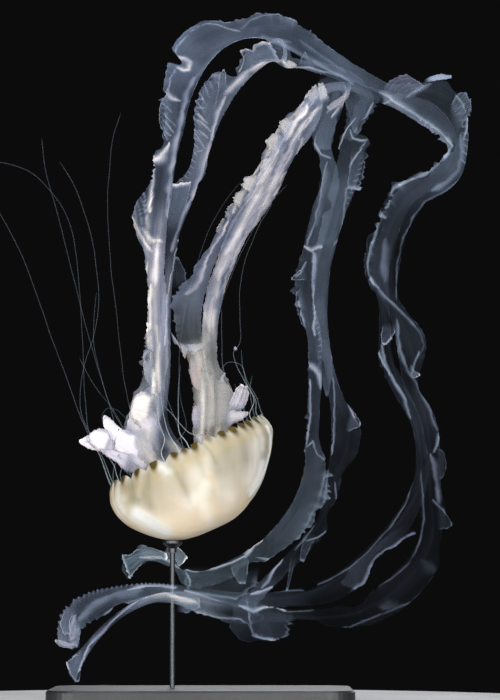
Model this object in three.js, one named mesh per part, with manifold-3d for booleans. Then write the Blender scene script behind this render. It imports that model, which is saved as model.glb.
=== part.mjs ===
// A sea nettle: a jellyfish with a cream bell, brown-tipped marginal lappets, four long
// frilled oral arms and twenty-four thin tentacles. It is shown at life size as a still
// display model: the bell is tipped over, mouth upward, and stands on one short rod over
// a flat base, while the arms rise, turn over and sweep down and round beneath it.
//
// Millimetres, +Z up, seen from -Y with +X to the right. The model is laid out about a
// working origin on the floor, and the finished group is moved so that its own origin is
// the middle of its box, at floor level.
import * as THREE from 'three';
import Module from 'manifold-3d';
import { mergeVertices } from 'three/addons/utils/BufferGeometryUtils.js';

const wasm = await Module();
wasm.setup();

// ---------------------------------------------------------------- driving dimensions
const GAP = 0.3;                       // left between touching pieces

// bell
const BELL_CENTRE = [-59.8, 0, 248];   // middle of the margin's plane
const BELL_LEAN = 24.74;               // degrees the bell's axis leans to the right, pole down
const BELL_PITCH = 1.15;               // degrees its pole is turned away from the viewer
// meridian from the margin to the pole as [radius, height above the margin's plane], on the
// flatter right side and on the fuller left side; the rest of the bell blends between them
const MERIDIAN_FLAT = [[82, 0], [84.5, 12.5], [79.1, 24], [72.3, 34.7], [64.4, 44.5], [56, 54], [46.3, 62], [35.8, 69], [24.5, 74.8], [12.5, 78.8], [0, 80]];
const MERIDIAN_FULL = [[86.5, 0], [93.3, 12.5], [93, 27], [87.5, 40], [78.6, 51.5], [68.5, 61.7], [57, 70.5], [44, 76], [29.5, 78.8], [15, 79.8], [0, 80]];
const WALL_MARGIN = 1.8, WALL_POLE = 9; // bell wall thickness
const MARGIN_BAND = 0.1;               // share of the meridian that belongs to the margin ring
const FURROW = 1.1;                    // depth of the soft radial furrows near the margin
const LAPPET_HEIGHT = 5, CLEFT_DEPTH = 1.5, LAPPET_TUCK = 1.2;
// angle of each of the 32 lappets: the near side is a little uneven, the rest is even
const NEAR_LAPPETS = [28, 39, 46.3, 55.3, 64.6, 75, 86, 93, 100.2, 116.3, 130.6, 145.8];
const LAPPETS = 32;

// manubrium, the stalk of the mouth inside the bell
const STALK_TOP = 34.5;                // height, measured as the bell's, where the arms begin
const STALK = [[27, 70.6], [19, 64], [15, 54], [14.5, 44], [15.5, STALK_TOP]];

// oral arms: thickness of the rib and of the frilled rims, at the bell and at the tip
const RIB_THICK = [4.2, 2], RIM_THICK = [1.6, 1];
const ARM_LENGTHS = 5;                 // each arm is divided into this many lengths
const STEP_LENGTH = 44, STEP_TURN = 0.82; // one step for each so many mm, and so many per radian

// tentacles
const TENTACLE_ROOT = 1.3, TENTACLE_TIP = 0.6; // radii
const TENTACLE_STEP = 17;

// stand
const BASE = { x: -48, y: -6, width: 300, depth: 180, height: 14, corner: 26, bevel: 2 };
const ROD_RADIUS = 2.6, CUP_RADIUS = 10, CUP_THICK = 3;

// Course of each oral arm from the stalk to its tip, as [x, y, z, left, right]: where its
// rib runs, and how far its two frilled lips reach to the left and to the right of it.
const ARMS = [
  { name: 'arm_1', twist: [300, 3.4], fold: 0.55, rows: [ // left column, outer band over the top, outer right strand
    [-53, -8, 220, 5, -5], [-64, -12, 236, 14, -7], [-88, -20, 267, 44, -5], [-95, -16, 300, 20, -10], [-94, -12, 349, 12, -13],
    [-92, -9, 445, 15, -7], [-89, -6, 483, 30, -7], [-84, 0, 523, 15, -7], [-81, 4, 549, 15, -8], [-77, 8, 571, 10, -10],
    [-73, 15, 615, 15, -16], [-47, 24, 656, 29, -12], [-9, 28, 675, 16, -6], [13, 28, 681, 17, -12], [77, 22, 649, 12, -12],
    [136, 10, 612, 10, -4], [197, -17, 586, 22, -21], [209, -26, 565, 9, -13], [198, -38, 523, 12, -15], [161, -45, 500, 15, -18],
    [131, -50, 419, 15, -15], [137, -50, 397, 9, -7], [158, -50, 353, 15, -14], [162, -48, 307, 4, -9], [171, -46, 284, 9, -6],
    [177, -40, 208, 11, -11], [179, -33, 162, 16, -13], [104, -10, 88, 15, -12], [47, -4, 84, 4, -7], [-15, -5, 94, 16, -8],
    [-96, -12, 102, 4, -4], [-157, -24, 58, 4, -4], [-174, -28, 29, 6, -4], [-171, -28, 20, 1, -1],
  ] },
  { name: 'arm_2', twist: [270, 0.2], fold: 0.5, rows: [ // left column, inner band, middle strand
    [-52, 9, 221, 5, -5], [-63, 12, 238, 8, -6], [-85, 17, 276, 13, -4], [-87, 18, 331, 8, -7], [-79, 20, 441, 7, -3],
    [-75, 22, 465, 12, -3], [-58, 25, 511, 22, -4], [-52, 24, 533, 11, -7], [-48, 22, 550, 10, -6], [-19, 4, 615, 23, -8],
    [-6, -2, 627, 11, -6], [7, -6, 637, 19, -5], [23, -9, 644, 16, -4], [38, -11, 642, 14, -9], [53, -12, 639, 5, -7],
    [68, -12, 635, 5, -7], [99, -13, 621, 8, -6], [118, -12, 603, 6, -8], [104, -5, 574, 9, -12], [103, 2, 544, 11, -15],
    [87, 6, 486, 8, -14], [72, 9, 425, 8, -10], [87, 15, 305, 6, -8], [99, 17, 269, 12, -18], [81, 20, 212, 8, -7],
    [71, 22, 179, 10, -4], [48, 26, 151, 9, -5], [7, 30, 111, 11, -4], [-3, 31, 97, 10, -8], [-4, 31, 83, 13, -14],
    [15, 29, 65, 11, -6], [27, 28, 61, 2, -2],
  ] },
  { name: 'arm_3', twist: [320, 3.0], fold: 0.5, rows: [ // right column, inner right strand, upper left end
    [-39, -8, 218, 5, -5], [-30, -14, 280, 13, -13], [-32, -12, 314, 10, -12], [-38, -12, 331, 8, -8], [-41, -12, 369, 7, -9],
    [-11, -12, 470, 10, -12], [10, -14, 506, 14, -15], [30, -17, 542, 12, -12], [52, -24, 578, 10, -16], [73, -36, 606, 5, -6],
    [138, -52, 594, 8, -6], [175, -64, 575, 14, -10], [192, -71, 562, 8, -11], [195, -84, 527, 8, -7], [151, -91, 490, 9, -12],
    [126, -92, 412, 9, -8], [129, -92, 391, 6, -5], [137, -91, 332, 4, -12], [162, -87, 265, 6, -4], [165, -82, 215, 7, -7],
    [144, -76, 176, 12, -7], [108, -67, 140, 13, -5], [84, -61, 121, 19, -5], [34, -52, 103, 9, -7], [7, -50, 102, 9, -6],
    [-76, -47, 110, 4, -6], [-103, -48, 112, 12, -5], [-178, -56, 72, 11, -9], [-179, -57, 60, 7, -6], [-172, -57, 53, 1, -1],
  ] },
  { name: 'arm_4', twist: [290, 0.3], fold: 0.5, rows: [ // right column with the broad film, curled end under the bell
    [-39, 9, 219, 5, -5], [-45, 13, 238, 10, -8], [-47, 23, 316, 11, -7], [-61, 26, 367, 13, -13], [-58, 28, 406, 19, -12],
    [-52, 29, 422, 9, -10], [-28, 32, 473, 5, -7], [13, 38, 544, 5, -8], [49, 44, 599, 5, -8], [86, 49, 630, 4, -7],
    [93, 50, 622, 6, -8], [90, 50, 607, 6, -8], [76, 50, 567, 7, -10], [81, 50, 524, 10, -8], [75, 50, 502, 11, -10],
    [62, 52, 444, 8, -12], [61, 53, 427, 7, -18], [60, 54, 409, 5, -14], [66, 56, 369, 7, -8], [69, 58, 327, 4, -10],
    [67, 60, 256, 5, -11], [66, 60, 234, 14, -11], [-7, 58, 138, 8, -9], [-68, 55, 128, 10, -6], [-82, 54, 139, 5, -9],
    [-108, 52, 143, 4, -6], [-126, 50, 131, 5, -4], [-123, 50, 122, 1, -1],
  ] },
];

// Broad frilled lobes of the lips round the mouth: which arm they grow from, how far along
// it and how far out on its lip, where they reach, their width and how far they curl.
const LOBES = [
  { arm: 0, along: 62, out: 0.3, tip: [-171, -50, 259], width: 27, curl: 10 },
  { arm: 0, along: 76, out: 0.3, tip: [-147, -38, 286], width: 15, curl: -6 },
  { arm: 0, along: 90, out: 0.3, tip: [-121, -34, 302], width: 26, curl: 7 },
  { arm: 0, along: 42, out: 0.5, tip: [-149, -46, 248], width: 17, curl: -6 },
  { arm: 1, along: 56, out: 0.3, tip: [-130, 44, 262], width: 26, curl: 8 },
  { arm: 1, along: 84, out: 0.3, tip: [-112, 38, 304], width: 20, curl: -6 },
  { arm: 2, along: 90, out: -0.5, tip: [-2, -30, 314], width: 17, curl: 5 },
  { arm: 3, along: 58, out: 0.4, tip: [-59, 30, 287], width: 25, curl: 5 },
  { arm: 3, along: 62, out: -0.5, tip: [-16, 46, 291], width: 22, curl: -6 },
];

// Tentacles: the angle of the cleft that each hangs from, and the way it takes.
const TENTACLES = [
  { cleft: 174.6, way: [[-149, -6, 243], [-162, -4, 268], [-189, 0, 337], [-209, 2, 392], [-230, 4, 447], [-251, 6, 487], [-276, 8, 526], [-309, 10, 557]] }, // far left, outer
  { cleft: 186.2, way: [[-149, 4, 242], [-161, 6, 268], [-165, 8, 300], [-169, 10, 371], [-173, 12, 427], [-183, 14, 483], [-202, 14, 513], [-222, 12, 531], [-248, 10, 540], [-278, 8, 539], [-304, 4, 530]] }, // far left, high
  { cleft: 163.0, way: [[-146, -14, 241], [-159, -14, 265], [-168, -12, 287], [-169, -10, 309], [-165, -10, 334], [-156, -10, 361], [-151, -12, 391], [-153, -14, 431], [-164, -18, 482], [-176, -20, 515], [-190, -22, 537]] }, // left, bowed
  { cleft: 197.7, way: [[-133, 24, 249], [-138, 26, 283], [-145, 28, 307], [-159, 30, 353], [-171, 32, 395], [-185, 34, 452], [-199, 36, 504], [-207, 36, 534], [-212, 36, 569]] }, // left, rear
  { cleft: 209.2, way: [[-121, 36, 250], [-121, 30, 272], [-126, 22, 284], [-136, 16, 292], [-143, 10, 292], [-148, 6, 284], [-147, 4, 276]] }, // curled
  { cleft: 220.7, way: [[-122, 60, 251], [-130, 60, 277], [-141, 56, 296], [-154, 50, 312], [-165, 46, 329], [-173, 42, 346]] }, // rear left, short
  { cleft: 232.3, way: [[-114, 68, 248], [-132, 70, 279], [-142, 68, 296], [-151, 64, 323], [-158, 62, 351], [-160, 62, 384], [-157, 62, 414]] }, // rear left, second
  { cleft: 243.8, way: [[-109, 74, 251], [-119, 74, 279], [-125, 72, 304], [-132, 70, 351], [-138, 70, 402], [-144, 70, 454], [-146, 70, 499], [-145, 70, 539], [-141, 70, 574], [-133, 70, 601]] }, // rear left, tall
  { cleft: 108.2, way: [[-83, -78, 256], [-88, -72, 272], [-90, -68, 292], [-87, -66, 317]] }, // near, beside the left column
  { cleft: 96.6, way: [[-79, -80, 262], [-84, -76, 279], [-87, -72, 305], [-87, -70, 329]] }, // near, second
  { cleft: 89.5, way: [[-68, -80, 262], [-70, -76, 281], [-70, -72, 303], [-68, -70, 331]] }, // near, between columns
  { cleft: 80.5, way: [[-59, -78, 263], [-68, -70, 272], [-78, -62, 284], [-86, -58, 292]] }, // near, leaning left
  { cleft: 33.5, way: [[4, -44, 295], [-6, -46, 317], [-14, -46, 334], [-16, -46, 345], [-12, -46, 350], [-10, -46, 378], [-10, -46, 408], [-5, -46, 433], [6, -48, 463], [22, -50, 491]] }, // right, looped
  { cleft: 42.6, way: [[-10, -56, 292], [-21, -52, 310], [-27, -50, 331], [-28, -50, 356], [-28, -50, 387]] }, // right, inner
  { cleft: 22.2, way: [[6, -26, 296], [-3, -22, 315], [-10, -20, 334], [-22, -22, 336], [-30, -24, 327]] }, // right rim, short
  { cleft: 359.1, way: [[6, 14, 305], [-1, 18, 317], [-7, 22, 334], [-9, 26, 352]] }, // right rim, rear
  { cleft: 313.0, way: [[-18, 62, 292], [-29, 64, 320], [-37, 66, 353], [-34, 66, 380], [-29, 66, 402], [-18, 66, 435], [0, 68, 473], [17, 68, 502], [38, 68, 526]] }, // rear right, tall
  { cleft: 255.4, way: [[-66, 86, 277], [-71, 84, 305], [-73, 82, 346], [-67, 80, 396], [-58, 78, 433], [-44, 78, 476], [-29, 78, 505], [-10, 78, 530]] }, // rear, between columns
  { cleft: 266.9, way: [[-74, 90, 279], [-84, 84, 305], [-92, 78, 334], [-94, 74, 366], [-92, 72, 395]] }, // rear, low
  { cleft: 278.4, way: [[-55, 84, 266], [-53, 78, 280], [-47, 74, 307], [-43, 72, 339], [-41, 72, 372]] }, // rear, behind the right column
  { cleft: 301.5, way: [[-32, 74, 286], [-37, 70, 313], [-45, 68, 333], [-53, 68, 349], [-58, 68, 370]] }, // rear right, low
  { cleft: 324.5, way: [[-6, 54, 293], [-10, 50, 309], [-16, 46, 319]] }, // rear right, short
  { cleft: 336.0, way: [[2, 38, 298], [0, 38, 312], [2, 40, 327]] }, // right, short
  { cleft: 151.5, way: [[-134, -34, 233], [-141, -30, 244], [-144, -24, 253]] }, // near left, short
];
const LONG_TENTACLE = 260;             // a tentacle longer than this is divided in two

// ---------------------------------------------------------------- colours and materials
const mat = (color, roughness, extra = {}) => new THREE.MeshStandardMaterial({ color, roughness, metalness: 0, ...extra });
const BELL_LOOK = mat(0xe6dcbe, 0.35);
const MARGIN_LOOK = mat(0x8a6a28, 0.4);
const ARM_LOOK = mat(0xc9ccd8, 0.35);
const TENTACLE_LOOK = mat(0x9fb4b4, 0.4);
const BASE_LOOK = mat(0x1c1d20, 0.3);
const STEEL_LOOK = mat(0xb4b7bb, 0.35, { metalness: 1 });

const model = new THREE.Group();
const place = new THREE.Group();
model.add(place);
function add(name, geometry, material) {
  const mesh = new THREE.Mesh(geometry, material);
  mesh.name = name;
  place.add(mesh);
  return mesh;
}

// ---------------------------------------------------------------- general helpers
const V = (x, y, z) => new THREE.Vector3(x, y, z);
const smooth = (a, b, x) => { const t = Math.min(1, Math.max(0, (x - a) / (b - a))); return t * t * (3 - 2 * t); };

// Smooth curve through rows of any width, by distance along its first `lead` numbers.
function course(rows, lead = 3) {
  const n = rows.length, knot = [0];
  for (let i = 1; i < n; i++) {
    let d = 0;
    for (let k = 0; k < lead; k++) d += (rows[i][k] - rows[i - 1][k]) ** 2;
    knot.push(knot[i - 1] + Math.sqrt(d));
  }
  const slope = rows.map((row, i) => row.map((_, k) => {
    if (i === 0) return (rows[1][k] - row[k]) / knot[1];
    if (i === n - 1) return (row[k] - rows[n - 2][k]) / (knot[n - 1] - knot[n - 2]);
    const a = knot[i] - knot[i - 1], b = knot[i + 1] - knot[i];
    return ((row[k] - rows[i - 1][k]) / a * b + (rows[i + 1][k] - row[k]) / b * a) / (a + b);
  }));
  const at = (s) => {
    let i = 0;
    while (i < n - 2 && s >= knot[i + 1]) i++;
    const h = knot[i + 1] - knot[i], f = (s - knot[i]) / h, f2 = f * f, f3 = f2 * f;
    return rows[i].map((p, k) => p * (2 * f3 - 3 * f2 + 1) + slope[i][k] * h * (f3 - 2 * f2 + f)
      + rows[i + 1][k] * (3 * f2 - 2 * f3) + slope[i + 1][k] * h * (f3 - f2));
  };
  return { length: knot[n - 1], at };
}

function solid(points, triangles) {
  const g = new THREE.BufferGeometry();
  g.setAttribute('position', new THREE.Float32BufferAttribute(points.flatMap((p) => [p.x, p.y, p.z]), 3));
  g.setIndex(triangles);
  g.computeVertexNormals();
  return g;
}
const flip = (tri) => { const t = []; for (let i = 0; i < tri.length; i += 3) t.push(tri[i], tri[i + 2], tri[i + 1]); return t; };
function outward(points, tri) {        // turns the faces outward
  let vol = 0;
  for (let i = 0; i < tri.length; i += 3) {
    const a = points[tri[i]], b = points[tri[i + 1]], c = points[tri[i + 2]];
    vol += a.dot(b.clone().cross(c));
  }
  return solid(points, vol < 0 ? flip(tri) : tri);
}

// A thick sheet: surface(i, j) is its middle and half(i, j) half its thickness.
function sheet(ni, nj, surface, half, shape = (p) => p) {
  const mid = [];
  for (let i = 0; i <= ni; i++) { mid.push([]); for (let j = 0; j <= nj; j++) mid[i].push(surface(i, j)); }
  const points = [];
  for (const side of [1, -1]) {
    for (let i = 0; i <= ni; i++) for (let j = 0; j <= nj; j++) {
      const du = mid[Math.min(ni, i + 1)][j].clone().sub(mid[Math.max(0, i - 1)][j]);
      const dv = mid[i][Math.min(nj, j + 1)].clone().sub(mid[i][Math.max(0, j - 1)]);
      const n = du.cross(dv).normalize();
      points.push(shape(mid[i][j].clone().addScaledVector(n, side * half(i, j)), i, j));
    }
  }
  const row = nj + 1, back = (ni + 1) * row, tri = [];
  const quad = (a, b, c, d) => tri.push(a, b, c, a, c, d);
  for (let i = 0; i < ni; i++) for (let j = 0; j < nj; j++) {
    const a = i * row + j;
    quad(a, a + row, a + row + 1, a + 1);
    quad(back + a, back + a + 1, back + a + row + 1, back + a + row);
  }
  for (let i = 0; i < ni; i++) {
    const a = i * row, b = a + nj;
    quad(a, back + a, back + a + row, a + row);
    quad(b, b + row, back + b + row, back + b);
  }
  for (let j = 0; j < nj; j++) {
    const a = j, b = ni * row + j;
    quad(a, a + 1, back + a + 1, back + a);
    quad(b, back + b, back + b + 1, b + 1);
  }
  return outward(points, tri);
}

// A tube of falling radius along a course, closed at both ends.
function tube(way, from, to, sides, steps, radius) {
  const points = [], tri = [];
  let across = V(0.3, 1, 0.1);
  for (let i = 0; i <= steps; i++) {
    const s = from + (to - from) * i / steps;
    const p = V(...way.at(s)), q = V(...way.at(Math.min(way.length, s + 0.5))), o = V(...way.at(Math.max(0, s - 0.5)));
    const t = q.sub(o).normalize();
    across = across.clone().addScaledVector(t, -across.dot(t)).normalize();
    const other = t.clone().cross(across);
    for (let k = 0; k < sides; k++) {
      const a = 2 * Math.PI * k / sides;
      points.push(p.clone().addScaledVector(across, radius(s) * Math.cos(a)).addScaledVector(other, radius(s) * Math.sin(a)));
    }
  }
  for (let i = 0; i < steps; i++) for (let k = 0; k < sides; k++) {
    const a = i * sides + k, b = i * sides + (k + 1) % sides;
    tri.push(a, b, b + sides, a, b + sides, a + sides);
  }
  for (let k = 1; k < sides - 1; k++) {
    tri.push(0, k + 1, k);
    tri.push(steps * sides, steps * sides + k, steps * sides + k + 1);
  }
  return outward(points, tri);
}

const toSolid = (geometry) => {
  const g = geometry.clone();
  g.deleteAttribute('normal');
  const m = mergeVertices(g, 1e-4);
  return new wasm.Manifold(new wasm.Mesh({ numProp: 3, vertProperties: new Float32Array(m.attributes.position.array), triVerts: new Uint32Array(m.index.array) }));
};
function fromSolid(body) {
  const m = body.getMesh();
  const g = new THREE.BufferGeometry();
  g.setAttribute('position', new THREE.BufferAttribute(new Float32Array(m.vertProperties), 3));
  g.setIndex(new THREE.BufferAttribute(new Uint32Array(m.triVerts), 1));
  g.computeVertexNormals();
  return g;
}

// ---------------------------------------------------------------- bell
const rad = THREE.MathUtils.degToRad;
// axis points from the margin to the pole, right lies in the margin's plane, near faces the viewer
const axis = V(Math.sin(rad(BELL_LEAN)) * Math.cos(rad(BELL_PITCH)), Math.sin(rad(BELL_PITCH)), -Math.cos(rad(BELL_LEAN)) * Math.cos(rad(BELL_PITCH)));
const near = V(0, -1, 0).addScaledVector(axis, axis.y).normalize();
const right = near.clone().cross(axis).normalize();
if (right.x < 0) right.negate();
const centre = V(...BELL_CENTRE);
const bellPoint = (angle, r, u) => centre.clone().addScaledVector(right, r * Math.cos(angle))
  .addScaledVector(near, r * Math.sin(angle)).addScaledVector(axis, u);

const flat = course(MERIDIAN_FLAT.map((p, i) => [i, ...p]), 1), full = course(MERIDIAN_FULL.map((p, i) => [i, ...p]), 1);
function meridian(angle, t) {          // [radius, height] of the outer surface, t from margin 0 to pole 1
  const [, r1, u1] = flat.at(t * 10), [, r2, u2] = full.at(t * 10);
  const w = (1 + Math.cos(angle)) / 2;
  return [r2 + (r1 - r2) * w, u2 + (u1 - u2) * w];
}
const wall = (t) => WALL_MARGIN + (WALL_POLE - WALL_MARGIN) * smooth(0.05, 0.95, t) * 0.75 + (WALL_POLE - WALL_MARGIN) * 0.25 * t;
const furrow = (angle, t) => FURROW * Math.cos(16 * angle) * smooth(0, 0.08, t) * (1 - smooth(0.15, 0.6, t));
function skin(angle, t, depth) {       // a point so far below the outer surface
  const [r, u] = meridian(angle, t), e = 0.01;
  const [ra, ua] = meridian(angle, Math.max(0, t - e)), [rb, ub] = meridian(angle, Math.min(1, t + e));
  let nr = ub - ua, nu = ra - rb;
  const l = Math.hypot(nr, nu);
  nr /= l; nu /= l;
  if (t > 0.999) { nr = 0; nu = 1; }
  const d = furrow(angle, t) - depth;
  return bellPoint(angle, Math.max(0, r + nr * d), u + nu * d);
}

// lappet tips and clefts alternate round the margin
const tips = [...NEAR_LAPPETS];
const rest = LAPPETS - tips.length, span = 360 + tips[0] - tips[tips.length - 1];
for (let k = 1; k <= rest; k++) tips.push(NEAR_LAPPETS[NEAR_LAPPETS.length - 1] + span * k / (rest + 1));
const spokes = [];                     // [angle, 1 at a tip or 0 at a cleft]
tips.forEach((a, k) => {
  const b = k + 1 < LAPPETS ? tips[k + 1] : tips[0] + 360;
  spokes.push([rad(a), 1], [rad((a + b) / 2), 0]);
});
const N = spokes.length;

function rings(list, closedLoop) {     // rings of N points, or single points at the ends
  const points = [], start = [];
  list.forEach((ring) => { start.push(points.length); points.push(...ring); });
  const tri = [];
  const join = (a, b) => {
    const na = list[a].length, nb = list[b].length;
    for (let k = 0; k < N; k++) {
      const l = (k + 1) % N;
      if (na === 1) tri.push(start[a], start[b] + k, start[b] + l);
      else if (nb === 1) tri.push(start[a] + k, start[b], start[a] + l);
      else tri.push(start[a] + k, start[b] + k, start[b] + l, start[a] + k, start[b] + l, start[a] + l);
    }
  };
  for (let i = 0; i + 1 < list.length; i++) join(i, i + 1);
  if (closedLoop) join(list.length - 1, 0);
  return outward(points, tri);
}
const ring = (t, depth) => spokes.map(([a]) => skin(a, t, depth));
const outerT = [0.24, 0.38, 0.52, 0.66, 0.8, 0.91], innerT = [0.8, 0.62, 0.44, 0.26];
const cutT = GAP / 130;                // half of it each side of the cut
add('bell', rings([
  [skin(0, 1, 0)], ...[...outerT].reverse().map((t) => ring(t, 0)), ring(MARGIN_BAND + cutT, 0),
  ring(MARGIN_BAND + cutT, wall(MARGIN_BAND)), ...[...innerT].reverse().map((t) => ring(t, wall(t))), [skin(0, 1, WALL_POLE)],
], false), BELL_LOOK);

const rim = (depth) => spokes.map(([a, tip]) => {
  const [r] = meridian(a, 0);
  return bellPoint(a, r - depth - LAPPET_TUCK * tip, tip ? CLEFT_DEPTH - LAPPET_HEIGHT : CLEFT_DEPTH);
});
add('bell_margin', rings([
  ring(MARGIN_BAND - cutT, 0), ring(0.045, 0), rim(0), rim(WALL_MARGIN * 0.8), ring(0.045, WALL_MARGIN), ring(MARGIN_BAND - cutT, wall(MARGIN_BAND)),
], true), MARGIN_LOOK);

// ---------------------------------------------------------------- manubrium
{
  const n = 20, points = [], tri = [];
  STALK.forEach(([r, u]) => {
    for (let k = 0; k < n; k++) {
      const a = 2 * Math.PI * k / n;
      points.push(bellPoint(a, r * (1 + 0.14 * Math.cos(4 * a)), u));
    }
  });
  const last = (STALK.length - 1) * n;
  points.push(bellPoint(0, 0, STALK[0][1]), bellPoint(0, 0, STALK_TOP));
  const bottom = points.length - 2, top = points.length - 1;
  for (let i = 0; i + 1 < STALK.length; i++) for (let k = 0; k < n; k++) {
    const a = i * n + k, b = i * n + (k + 1) % n;
    tri.push(a, b, b + n, a, b + n, a + n);
  }
  for (let k = 0; k < n; k++) { tri.push(bottom, (k + 1) % n, k); tri.push(top, last + k, last + (k + 1) % n); }
  // its foot follows the bell's floor, a gap above it
  for (let k = 0; k < n; k++) {
    const a = 2 * Math.PI * k / n, r = STALK[0][0] * (1 + 0.14 * Math.cos(4 * a));
    points[k] = floorPoint(a, r);
  }
  points[bottom] = floorPoint(0, 0);
  add('manubrium', outward(points, tri), ARM_LOOK);
}
function floorPoint(angle, r) {        // a point just above the bell's inner floor at this radius
  let best = null;
  for (let t = 0.5; t <= 1.0001; t += 0.005) {
    const p = skin(angle, Math.min(1, t), wall(Math.min(1, t)) + 2 * GAP + 0.9 * smooth(0, 20, r));
    const rr = Math.hypot(p.clone().sub(centre).dot(right), p.clone().sub(centre).dot(near));
    if (!best || Math.abs(rr - r) < best.d) best = { d: Math.abs(rr - r), p };
  }
  return best.p;
}

// ---------------------------------------------------------------- oral arms
function arm(spec, index) {
  const way = course(spec.rows), L = way.length;
  const frame = (s) => {
    const a = way.at(Math.max(0, s - 1)), b = way.at(Math.min(L, s + 1));
    const dx = b[0] - a[0], dz = b[2] - a[2], l = Math.hypot(dx, dz);
    return { t: V(dx / l, 0, dz / l), left: V(-dz / l, 0, dx / l) };
  };
  // how far each lip leans toward or away from the viewer, for each mm of its width
  const lean = (s, side) => spec.fold * Math.sin(2 * Math.PI * s / spec.twist[0] + spec.twist[1] + (side > 0 ? 0 : 1.2));
  const surface = (s, v) => {
    const [x, y, z, l, r] = way.at(s);
    const w = v > 0 ? l * v : r * -v;
    const { left } = frame(s);
    return V(x, y, z).addScaledVector(left, w).add(V(0, lean(s, v) * Math.abs(w) * Math.abs(v) ** 0.4, 0));
  };
  const half = (s, v) => {
    const f = s / L, rib = RIB_THICK[0] + (RIB_THICK[1] - RIB_THICK[0]) * f, edge = RIM_THICK[0] + (RIM_THICK[1] - RIM_THICK[0]) * f;
    return 0.5 * (edge + (rib - edge) * (1 - Math.abs(v)) ** 1.5);
  };
  // steps are shorter where the arm bends
  const dense = 1200, measure = [0];
  for (let i = 1; i <= dense; i++) {
    const a = frame(L * (i - 1) / dense).t, b = frame(L * i / dense).t;
    measure.push(measure[i - 1] + L / dense / STEP_LENGTH + a.angleTo(b) * STEP_TURN);
  }
  const where = (m) => { let i = 0; while (i < dense - 1 && measure[i + 1] < m) i++; return L * (i + (m - measure[i]) / (measure[i + 1] - measure[i])) / dense; };
  const total = measure[dense], steps = Math.round(total);
  // the arm is cut across where it runs straightest near each even division
  const bend = (i) => { const s = where(total * i / steps), [, , , l, r] = way.at(s); return frame(s - 12).t.angleTo(frame(s + 12).t) * (l - r); };
  const cuts = [0];
  for (let k = 1; k < ARM_LENGTHS; k++) {
    let best = Math.round(steps * k / ARM_LENGTHS);
    for (const d of [-1, 1, -2, 2]) { const i = Math.round(steps * k / ARM_LENGTHS) + d; if (bend(i) < bend(best)) best = i; }
    cuts.push(best);
  }
  cuts.push(steps);
  for (let k = 0; k < ARM_LENGTHS; k++) {
    const list = [];
    for (let i = cuts[k]; i <= cuts[k + 1]; i++) list.push(where(total * i / steps));
    if (k > 0) list[0] += GAP / 2;
    if (k < ARM_LENGTHS - 1) list[list.length - 1] -= GAP / 2;
    const nj = 4;
    let g = sheet(list.length - 1, nj, (i, j) => surface(list[i], j / nj * 2 - 1), (i, j) => half(list[i], j / nj * 2 - 1),
      (p, i) => { // the arm's first section lies flat on the stalk
        if (k > 0 || i > 0) return p;
        const u = p.clone().sub(centre).dot(axis);
        return p.addScaledVector(axis, STALK_TOP - GAP - u);
      });
    if (k === 0) for (const lobe of LOBES.filter((o) => o.arm === index)) g = fromSolid(toSolid(g).add(toSolid(lobeShape(lobe, surface(lobe.along, lobe.out)))));
    add(`${spec.name}_length_${k + 1}`, g, ARM_LOOK);
  }
}
function lobeShape({ tip, width, curl }, root) {
  const b = V(...tip), a = root.clone().addScaledVector(b.clone().sub(root).normalize(), -4);
  const along = b.clone().sub(a), len = along.length();
  const up = V(0, 0, 1).addScaledVector(along, -along.z / (len * len)).normalize();
  const out = along.clone().normalize().cross(up);
  const ni = 4, nj = 2;
  return sheet(ni, nj, (i, j) => {
    const f = i / ni, v = j / nj * 2 - 1;
    const w = width / 2 * Math.sin(Math.PI * (0.22 + 0.72 * f)) ** 0.7;
    return a.clone().addScaledVector(along, f).addScaledVector(up, v * w + 0.12 * width * Math.sin(Math.PI * f))
      .addScaledVector(out, curl * (v * v * 0.7 + 0.4 * Math.sin(Math.PI * f) - 0.5));
  }, (i) => 1.5 - 0.7 * i / ni);
}
ARMS.forEach(arm);

// ---------------------------------------------------------------- tentacles
TENTACLES.forEach(({ cleft, way }, k) => {
  const [r] = meridian(rad(cleft), 0);
  // nearest real cleft
  const angle = spokes.filter(([, tip]) => !tip).map(([a]) => a).reduce((best, a) => {
    const d = (x) => Math.abs(((x - rad(cleft)) % (2 * Math.PI) + 3 * Math.PI) % (2 * Math.PI) - Math.PI);
    return d(a) < d(best) ? a : best;
  });
  const root = (h) => bellPoint(angle, r - WALL_MARGIN * 0.4, h).toArray();
  const line = course([root(CLEFT_DEPTH - 1.6), root(-7), ...way]), L = line.length;
  const radius = (s) => TENTACLE_ROOT + (TENTACLE_TIP - TENTACLE_ROOT) * Math.min(1, s / 220) ** 0.7;
  const name = `tentacle_${String(k + 1).padStart(2, '0')}`;
  const parts = L > LONG_TENTACLE ? [[0, L / 2 - GAP / 2, '_root'], [L / 2 + GAP / 2, L, '_tip']] : [[0, L, '']];
  for (const [a, b, tag] of parts) add(name + tag, tube(line, a, b, 3, Math.max(3, Math.round((b - a) / TENTACLE_STEP)), radius), TENTACLE_LOOK);
});

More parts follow.
